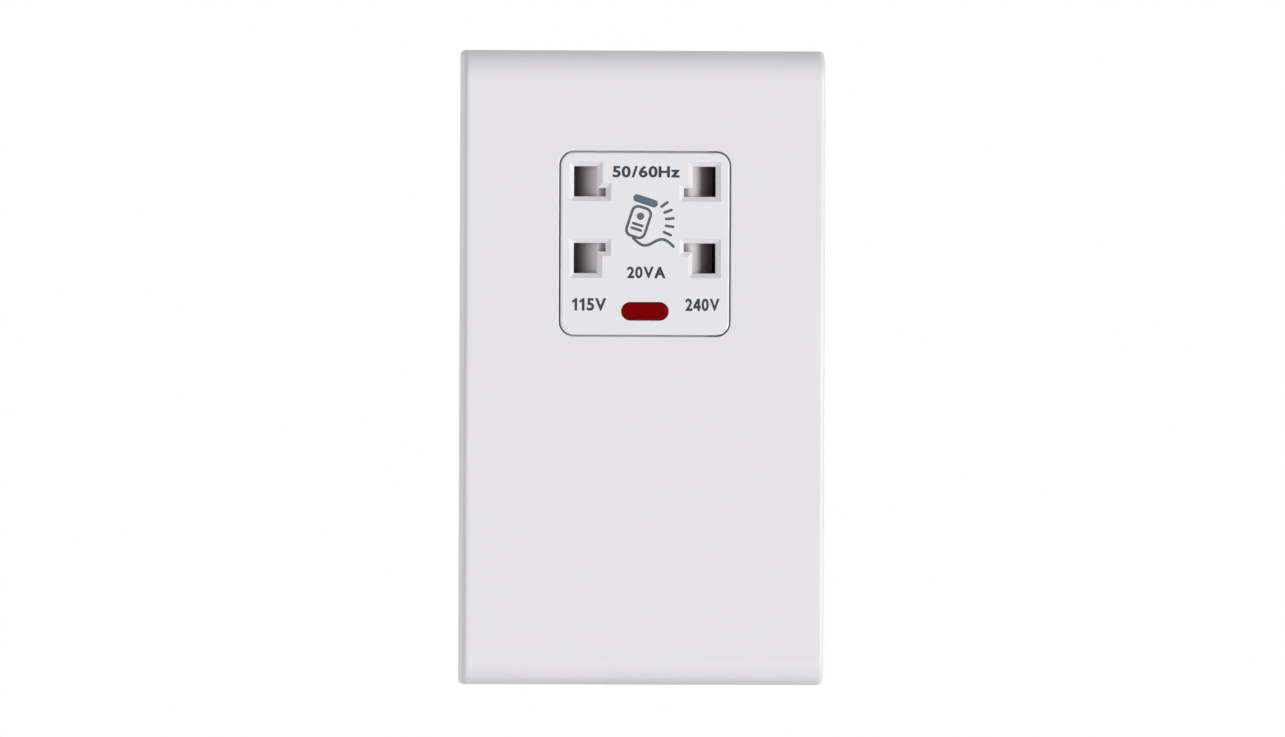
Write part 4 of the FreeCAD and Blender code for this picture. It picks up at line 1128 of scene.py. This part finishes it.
@dataclass
class FaceMarkings(Assembly):
    """Filled markings of the outlet face, placed from the middle of the face, in millimetres."""

    lines: tuple[Marking, ...] = (
        Marking("mark_115", "115V", -12.9, -14.0, 7.9, 2.9),
        Marking("mark_240", "240V", 13.3, -14.0, 7.9, 2.9),
        Marking("mark_supply", "50/60Hz", 0.2, 16.6, 15.6, 2.7),
        Marking("mark_rating", "20VA", 0.3, -6.6, 8.9, 2.7),
    )
    proud: float = 0.012
    fill_proud: float = 0.026
    # The rim is painted shade round each marking; the shift moves the fill up and to the left, so that the
    # painted shadow is widest on the lower right.
    rim: float = 0.13
    fill_shift: float = 0.03
    face: Lettering = Lettering()
    drawing: ShaverSymbol = ShaverSymbol()
    symbol_x: float = 0.35
    symbol_z: float = 4.9

    def pieces(self) -> list[Piece]:
        """Return the four lines of lettering and the shaver symbol."""
        return [*(self.lettering(line) for line in self.lines), self.symbol()]

    def settle(self, name: str, layers: list[Mesh], fill: Finish) -> Piece:
        """Bring the drawn layers to size and place on the face.

        Args:
            name: name of the marking.
            layers: rim of painted shade and fill, in millimetres from the middle of the face.
            fill: finish of the fill.

        Returns:
            The marking.
        """
        # Shift the fill up and left, leaving the rim's painted shadow wider on the lower right.
        layers[1].transform(Matrix.Translation((-self.fill_shift, 0.0, self.fill_shift)))
        mesh = joined(layers)
        low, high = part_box("outlet_face")
        middle = Vector(((low.x + high.x) / 2, low.y, (low.z + high.z) / 2))
        mesh.transform(Matrix.Translation(middle) @ Matrix.Scale(MM, 4))
        return self.add(name, mesh, [RIM_SHADE, fill], "carrier_dark")

    def lettering(self, line: Marking) -> Piece:
        """Make one line of lettering as a dark rim of painted shade with a lighter fill.

        Args:
            line: what it says and where.

        Returns:
            The marking.
        """
        rim = self.face.line(line.words, 0.0)
        low, high = reach(rim)
        across = line.width / (high.x - low.x)
        up = line.capital / (high.z - low.z)
        fill = self.face.line(line.words, self.rim / up)
        centre = Matrix.Translation(-(low + high) / 2)
        for layer, proud in ((rim, self.proud), (fill, self.fill_proud)):
            size = Matrix.Diagonal((across, proud * 2, up, 1.0))
            layer.transform(Matrix.Translation((line.x, 0.0, line.z)) @ size @ centre)
        return self.settle(line.name, [rim, fill], LETTER_INK)

    def symbol(self) -> Piece:
        """Make the shaver symbol as a dark rim of painted shade with a lighter fill.

        Returns:
            The marking.
        """
        layers = []
        for inset, proud in ((0.0, self.proud), (self.rim, self.fill_proud)):
            layer = joined([flat_shape(loops, proud * 2, -inset) for loops in self.drawing.outlines()])
            layer.transform(Matrix.Translation((self.symbol_x, 0.0, self.symbol_z)))
            layers.append(layer)
        return self.settle("mark_shaver", layers, FILL_INK)


@dataclass
class ShutterGear(Assembly):
    """Ramped shutters behind the pin openings, and the spring between them.
    """

    halves: tuple[tuple[str, str, float], ...] = (
        ("spring_left", "shutter_115_slide", -1.0), ("spring_right", "shutter_240_slide", 1.0))

    looks = {"shutter_115": SHUTTER_WHITE, "shutter_240": SHUTTER_WHITE}

    def pieces(self) -> list[Piece]:
        """Return the two halves of the spring."""
        return [self.half_spring(*half) for half in self.halves]

    def half_spring(self, name: str, joint: str, side: float) -> Piece:
        """Cut one half off the spring.

        Args:
            name: name of the half.
            joint: not used.
            side: -1 for the left half, 1 for the right half.

        Returns:
            The half of the spring.
        """
        low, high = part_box("shutter_spring")
        middle = (low + high) / 2
        work = bmesh.new()
        work.from_mesh(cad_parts["shutter_spring"].data)
        bmesh.ops.remove_doubles(work, verts=work.verts, dist=MERGE)
        cut = bmesh.ops.bisect_plane(
            work, geom=[*work.verts, *work.edges, *work.faces], plane_co=middle,
            plane_no=(side, 0.0, 0.0), clear_inner=True)
        rim = [part for part in cut["geom_cut"] if isinstance(part, bmesh.types.BMEdge)]
        bmesh.ops.holes_fill(work, edges=rim)
        mesh = bpy.data.meshes.new(name)
        work.to_mesh(mesh)
        work.free()
        piece = self.add(name, mesh, [SPRING_STEEL], "spring_steel", smooth=True)
        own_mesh(piece)
        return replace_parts(piece, "shutter_spring")


@dataclass
class ContactSet(Assembly):
    """Brass contacts in their carrier, soldered to the leads and the link, and the terminals' letters."""

    bead_radius: float = 1.25 * MM
    bead_depth: float = 0.75 * MM
    letter_size: float = 3.2 * MM
    letter_depth: float = 0.5 * MM
    letter_drop: float = 2.6 * MM
    type_size: float = 10.0
    type_swell: float = 0.15

    looks = {"contact_carrier": CARRIER_BLACK, "contact_115_upper": BRASS, "contact_115_lower": BRASS,
             "contact_240_upper": BRASS, "contact_240_lower": BRASS, "common_link": BRASS}

    def pieces(self) -> list[Piece]:
        """Return the solder and the two terminal letters."""
        return [self.solder(), self.letter("letter_live", "L", "terminal_live"),
                self.letter("letter_neutral", "N", "terminal_neutral")]

    def solder(self) -> Piece:
        """Set a bead of solder on each contact tail, and on the common lead.

        Returns:
            The beads as one piece.
        """
        link_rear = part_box("common_link")[1].y
        places = [(middle_of("lead_common").x, link_rear, middle_of("common_link").z)]
        for name in self.looks:
            low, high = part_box(name)
            if name.endswith("upper"):
                places.append((middle_of(name).x, high.y, high.z))
            elif name.endswith("lower"):
                places.append((middle_of(name).x, link_rear, low.z))
        mesh = BEADS.grow(drawn("solder_points", places), SOLDER,
                          {"Radius": self.bead_radius, "Depth": self.bead_depth})
        return self.add("solder_joints", mesh, [SOLDER], "spring_steel", smooth=True)

    def letter(self, name: str, words: str, terminal: str) -> Piece:
        """Mould a terminal's letter on the rear of the carrier, read from behind.

        Args:
            name: name of the piece.
            words: the letter.
            terminal: the terminal that it stands under.

        Returns:
            The letter.
        """
        mesh = word_shape(words, self.type_size, self.type_swell, 1.0, Facing.REAR)
        low, high = reach(mesh)
        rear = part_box("contact_carrier")[1].y
        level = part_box(terminal)[0].z - self.letter_drop
        share = self.letter_size / (high.z - low.z)
        size = Matrix.Diagonal((share, self.letter_depth, share, 1.0))
        place = Matrix.Translation((middle_of(terminal).x, rear, level))
        mesh.transform(place @ size @ Matrix.Translation(-(low + high) / 2))
        return self.add(name, mesh, [CARRIER_BLACK], "carrier_dark")


@dataclass
class ChassisFrame(Assembly):
    """Mounting frame with its screws and the ejector marks of its mould."""

    mark_radius: float = 2.2 * MM
    mark_depth: float = 0.05 * MM
    mark_inset: float = 7.5 * MM
    mark_levels: tuple[float, ...] = (-0.82, -0.3, 0.16, 0.82)

    looks = {"chassis": CHASSIS_GREY, "outlet_screws": ZINC, "core_screws": ZINC}

    def pieces(self) -> list[Piece]:
        """Return the ejector marks."""
        return [self.ejector_marks()]

    def ejector_marks(self) -> Piece:
        """Set round ejector marks on the rear of the frame.

        Returns:
            The marks as one piece.
        """
        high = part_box("chassis")[1]
        side = high.x - self.mark_inset
        places = [(x, 0.0, high.z * level) for x in (-side, side) for level in self.mark_levels]
        mesh = DISCS.grow(drawn("mark_points", places), CHASSIS_GREY,
                          {"Radius": self.mark_radius, "Depth": self.mark_depth})
        return self.add("ejector_marks", mesh, [CHASSIS_GREY], "chassis_grey")


@dataclass
class Transformer(Assembly):
    """Stack of steel sheets with three windings side by side on its middle leg.

    A sheet is measured in units of an outer leg's width, which is also the width of a window. Its
    gaps and its holes are in millimetres, as its outline is.
    """

    sheet_count: int = 40
    sheet_gap: float = 0.05
    joint_gap: float = 0.08
    hole_radius: float = 1.75
    sheet_slip: float = 0.04 * MM
    slip_seed: int = 7
    units_across: int = 5
    leg_spans: tuple[tuple[int, int], ...] = ((-3, -2), (-1, 1), (2, 3))
    winding_corner: float = 2.5 * MM
    wire_proud: float = 0.17 * MM
    wires: tuple[tuple[str, float], ...] = (
        ("secondary_115", 0.50 * MM), ("primary_winding", 0.32 * MM), ("secondary_240", 0.42 * MM))

    looks = {"coil_former": FORMER_IVORY, "secondary_115": COPPER, "primary_winding": COPPER,
             "secondary_240": COPPER, "winding_tape": TAPE, "thermal_cutout": CUTOUT_BLACK}

    def pieces(self) -> list[Piece]:
        """Return the stack of sheets and the turns of each winding."""
        return [self.stack(), *(self.turns(name, wire) for name, wire in self.wires)]

    def sheet(self, unit: float, thickness: float) -> Mesh:
        """Make one sheet of the stack: a three-legged piece and the straight piece that closes it.

        Args:
            unit: width of an outer leg, in millimetres.
            thickness: of the sheet, in millimetres.

        Returns:
            The sheet about its own middle, in metres.
        """
        half = self.units_across / 2 * unit
        inner = half - unit
        end = inner - self.joint_gap
        legs = []
        for low, high in self.leg_spans:
            legs += [(-inner, low * unit), (end, low * unit), (end, high * unit), (-inner, high * unit)]
        bottom, top = legs[0][1], legs[-1][1]
        legs[0] = (-half, bottom)
        legs[-1] = (-half, top)
        bar = [(inner, bottom), (half, bottom), (half, top), (inner, top)]
        level = top - unit / 2
        halves = []
        for outline, x in ((legs, unit / 2 - half), (bar, half - unit / 2)):
            holes = [moved(disc(self.hole_radius), x, z) for z in (-level, level)]
            halves.append(flat_shape([outline, *holes], thickness))
        mesh = joined(halves)
        mesh.transform(Matrix.Scale(MM, 4))
        return mesh

    def stack(self) -> Piece:
        """Stack the sheets in place of the plain core.

        Returns:
            The sheets as one piece.
        """
        low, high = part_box("transformer_core")
        middle = (low + high) / 2
        unit = (high.x - low.x) / self.units_across / MM
        pitch = (high.y - low.y) / self.sheet_count
        base = self.sheet(unit, pitch / MM - self.sheet_gap)
        mesh = SHEETS.grow(base, CORE_STEEL, {
            "Count": self.sheet_count, "Pitch": (0.0, pitch, 0.0), "Seed": self.slip_seed,
            "Start": (middle.x, low.y + pitch / 2, middle.z),
            "Shift": (self.sheet_slip, 0.0, self.sheet_slip)})
        piece = self.add("core_sheets", mesh, [CORE_STEEL], "core_steel")
        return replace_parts(piece, "transformer_core")

    def turns(self, name: str, wire: float) -> Piece:
        """Wind the outer layer of one winding.

        Args:
            name: the winding.
            wire: diameter of its wire.

        Returns:
            The turns as one piece.
        """
        low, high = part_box(name)
        middle = (low + high) / 2
        inset = wire / 2 - self.wire_proud
        loop = round_box(high.y - low.y - inset * 2, high.z - low.z - inset * 2, self.winding_corner - inset)
        path = drawn("turn_path", [(0.0, y + middle.y, z + middle.z) for y, z in loop],
                     edges=[(n, (n + 1) % len(loop)) for n in range(len(loop))])
        number = int((high.x - low.x) / wire)
        pitch = (high.x - low.x) / number
        mesh = TURNS.grow(path, COPPER, {
            "Count": number, "Start": (low.x + pitch / 2, 0.0, 0.0), "Pitch": (pitch, 0.0, 0.0),
            "Wire Radius": wire / 2})
        return self.add(f"{name}_turns", mesh, [COPPER], "winding_copper", smooth=True)


class SupplySide(Assembly):
    """Supply terminals on their block, and the leads inside the socket."""

    looks = {"terminal_block": BLOCK_GREY, "terminal_live": BRASS, "terminal_neutral": BRASS,
             "terminal_screws": ZINC, **LEADS}


@dataclass(frozen=True)
class SoftLight:
    """A distant soft light: where it comes from, how much it gives and how wide it looks."""

    name: str
    source: Place
    level: float
    spread: float


@dataclass
class Studio:
    """Pale floor, soft light and a camera at the photograph's viewing angle.

    Light levels are shares of the plain light under which a colour shows as it is written.
    """

    lights: tuple[SoftLight, ...] = (
        SoftLight("right_light", (0.77, -0.62, -0.03), 0.805, math.radians(20.0)),
        SoftLight("left_light", (-0.64, -0.76, -0.08), 0.41, math.radians(50.0)),
    )
    ambient: float = 0.175
    behind: float = 0.98
    behind_axis: Place = (0.0, 0.9, 0.436)
    behind_range: tuple[float, float] = (0.25, 0.9)
    floor_height: float = -0.25
    floor_size: float = 2.4
    floor_grey: float = 0.9
    floor_light: float = 0.45
    azimuth: float = math.radians(-5.4)
    elevation: float = 0.0
    roll: float = math.radians(0.22)
    distance: float = 8.0
    view_width: float = 0.2957
    view_middle: Place = (-0.00048, -0.009, -0.0002)

    def build(self) -> None:
        """Set up world, lights, floor and camera."""
        bpy.context.scene.view_settings.view_transform = "Standard"
        self.world()
        for light in self.lights:
            self.sun(light)
        self.floor()
        self.camera()

    def sees(self, sheet: NodeSheet, *kinds: str) -> Socket:
        """Tell rays of some kinds from others.

        Args:
            sheet: tree of the world or material.
            kinds: outputs of the light path.

        Returns:
            A socket that is 1 on rays of the named kinds, and 0 on others.
        """
        path = sheet.add("ShaderNodeLightPath")
        total = path.outputs[kinds[0]]
        for kind in kinds[1:]:
            total = sheet.math("MAXIMUM", total, path.outputs[kind])
        return total

    def world(self) -> None:
        """Set white surroundings: even to the eye, and for light and gloss brighter behind than in front."""
        world = bpy.data.worlds.new("studio")
        bpy.context.scene.world = world
        sheet = blank_sheet(world)
        direction = sheet.out("ShaderNodeTexCoord", output="Generated")
        toward = sheet.out("ShaderNodeVectorMath", {0: direction, 1: self.behind_axis}, output="Value",
                           operation="DOT_PRODUCT")
        start, full = self.behind_range
        share = sheet.out("ShaderNodeMapRange", {"Value": toward, "From Min": start, "From Max": full},
                          interpolation_type="SMOOTHSTEP")
        lit = sheet.out("ShaderNodeMix", {"Factor": share, "A": self.ambient, "B": self.behind})
        mirrored = sheet.math("MULTIPLY", share, self.sees(sheet, "Is Glossy Ray"))
        seen = sheet.math("MAXIMUM", self.sees(sheet, "Is Camera Ray", "Is Transmission Ray"), mirrored)
        level = sheet.out("ShaderNodeMix", {"Factor": seen, "A": lit, "B": 1.0})
        shine = sheet.out("ShaderNodeBackground", {"Color": scaled(WHITE), "Strength": level})
        sheet.add("ShaderNodeOutputWorld", {"Surface": shine})

    def sun(self, light: SoftLight) -> None:
        """Add one soft distant light.

        Args:
            light: its place, level and spread.
        """
        data = bpy.data.lights.new(light.name, "SUN")
        data.energy = light.level * math.pi
        data.angle = light.spread
        lamp = linked(light.name, data)
        lamp.rotation_mode = "QUATERNION"
        lamp.rotation_quaternion = Vector(light.source).to_track_quat("Z", "Y")
        lamp.location = Vector(light.source)

    def floor(self) -> None:
        """Lay a pale floor below the object, white to the eye but for the object's shadow."""
        half = self.floor_size / 2
        corners = [(x * half, y * half, self.floor_height) for x, y in ((-1, -1), (1, -1), (1, 1), (-1, 1))]
        mesh = drawn("floor", corners, faces=[(0, 1, 2, 3)])
        material = bpy.data.materials.new("pale floor")
        sheet = blank_sheet(material)
        matt = sheet.out("ShaderNodeBsdfDiffuse", {"Color": scaled(WHITE, self.floor_grey)})
        seen = self.sees(sheet, "Is Camera Ray", "Is Glossy Ray", "Is Transmission Ray")
        lift = sheet.math("MULTIPLY", seen, 1.0 - self.floor_grey * self.floor_light)
        glow = sheet.out("ShaderNodeEmission", {"Strength": lift})
        top = sheet.out("ShaderNodeAddShader", {0: matt, 1: glow})
        under = sheet.out("ShaderNodeBsdfTransparent")
        behind = sheet.out("ShaderNodeNewGeometry", output="Backfacing")
        whole = sheet.out("ShaderNodeMixShader", {0: behind, 1: top, 2: under})
        sheet.add("ShaderNodeOutputMaterial", {"Surface": whole})
        mesh.materials.append(material)
        floor = linked("floor", mesh)
        floor.visible_shadow = False

    def camera(self) -> None:
        """Set the camera from its angles, its distance and the width that it takes in."""
        data = bpy.data.cameras.new("camera")
        data.sensor_fit = "HORIZONTAL"
        data.lens = data.sensor_width * self.distance / self.view_width
        camera = linked("camera", data)
        level = math.cos(self.elevation)
        back = Vector((math.sin(self.azimuth) * level, -math.cos(self.azimuth) * level,
                       math.sin(self.elevation)))
        camera.location = Vector(self.view_middle) + back * self.distance
        camera.rotation_mode = "QUATERNION"
        turn = Matrix.Rotation(self.roll, 4, back).to_quaternion()
        camera.rotation_quaternion = turn @ back.to_track_quat("Z", "Y")
        bpy.context.scene.camera = camera


def main() -> None:
    """Build every sub-assembly, then the studio."""
    logging.basicConfig(level=logging.INFO, format="%(name)s: %(message)s")
    assemblies = (FrontPlate(), OutletFront(), FaceMarkings(), ShutterGear(), ContactSet(),
                  ChassisFrame(), Transformer(), SupplySide())
    for assembly in assemblies:
        for piece in assembly.build():
            log.info("%s %s, %d faces", type(assembly).__name__, piece.name, len(piece.data.polygons))
    Studio().build()


if __name__ == "__main__":
    main()
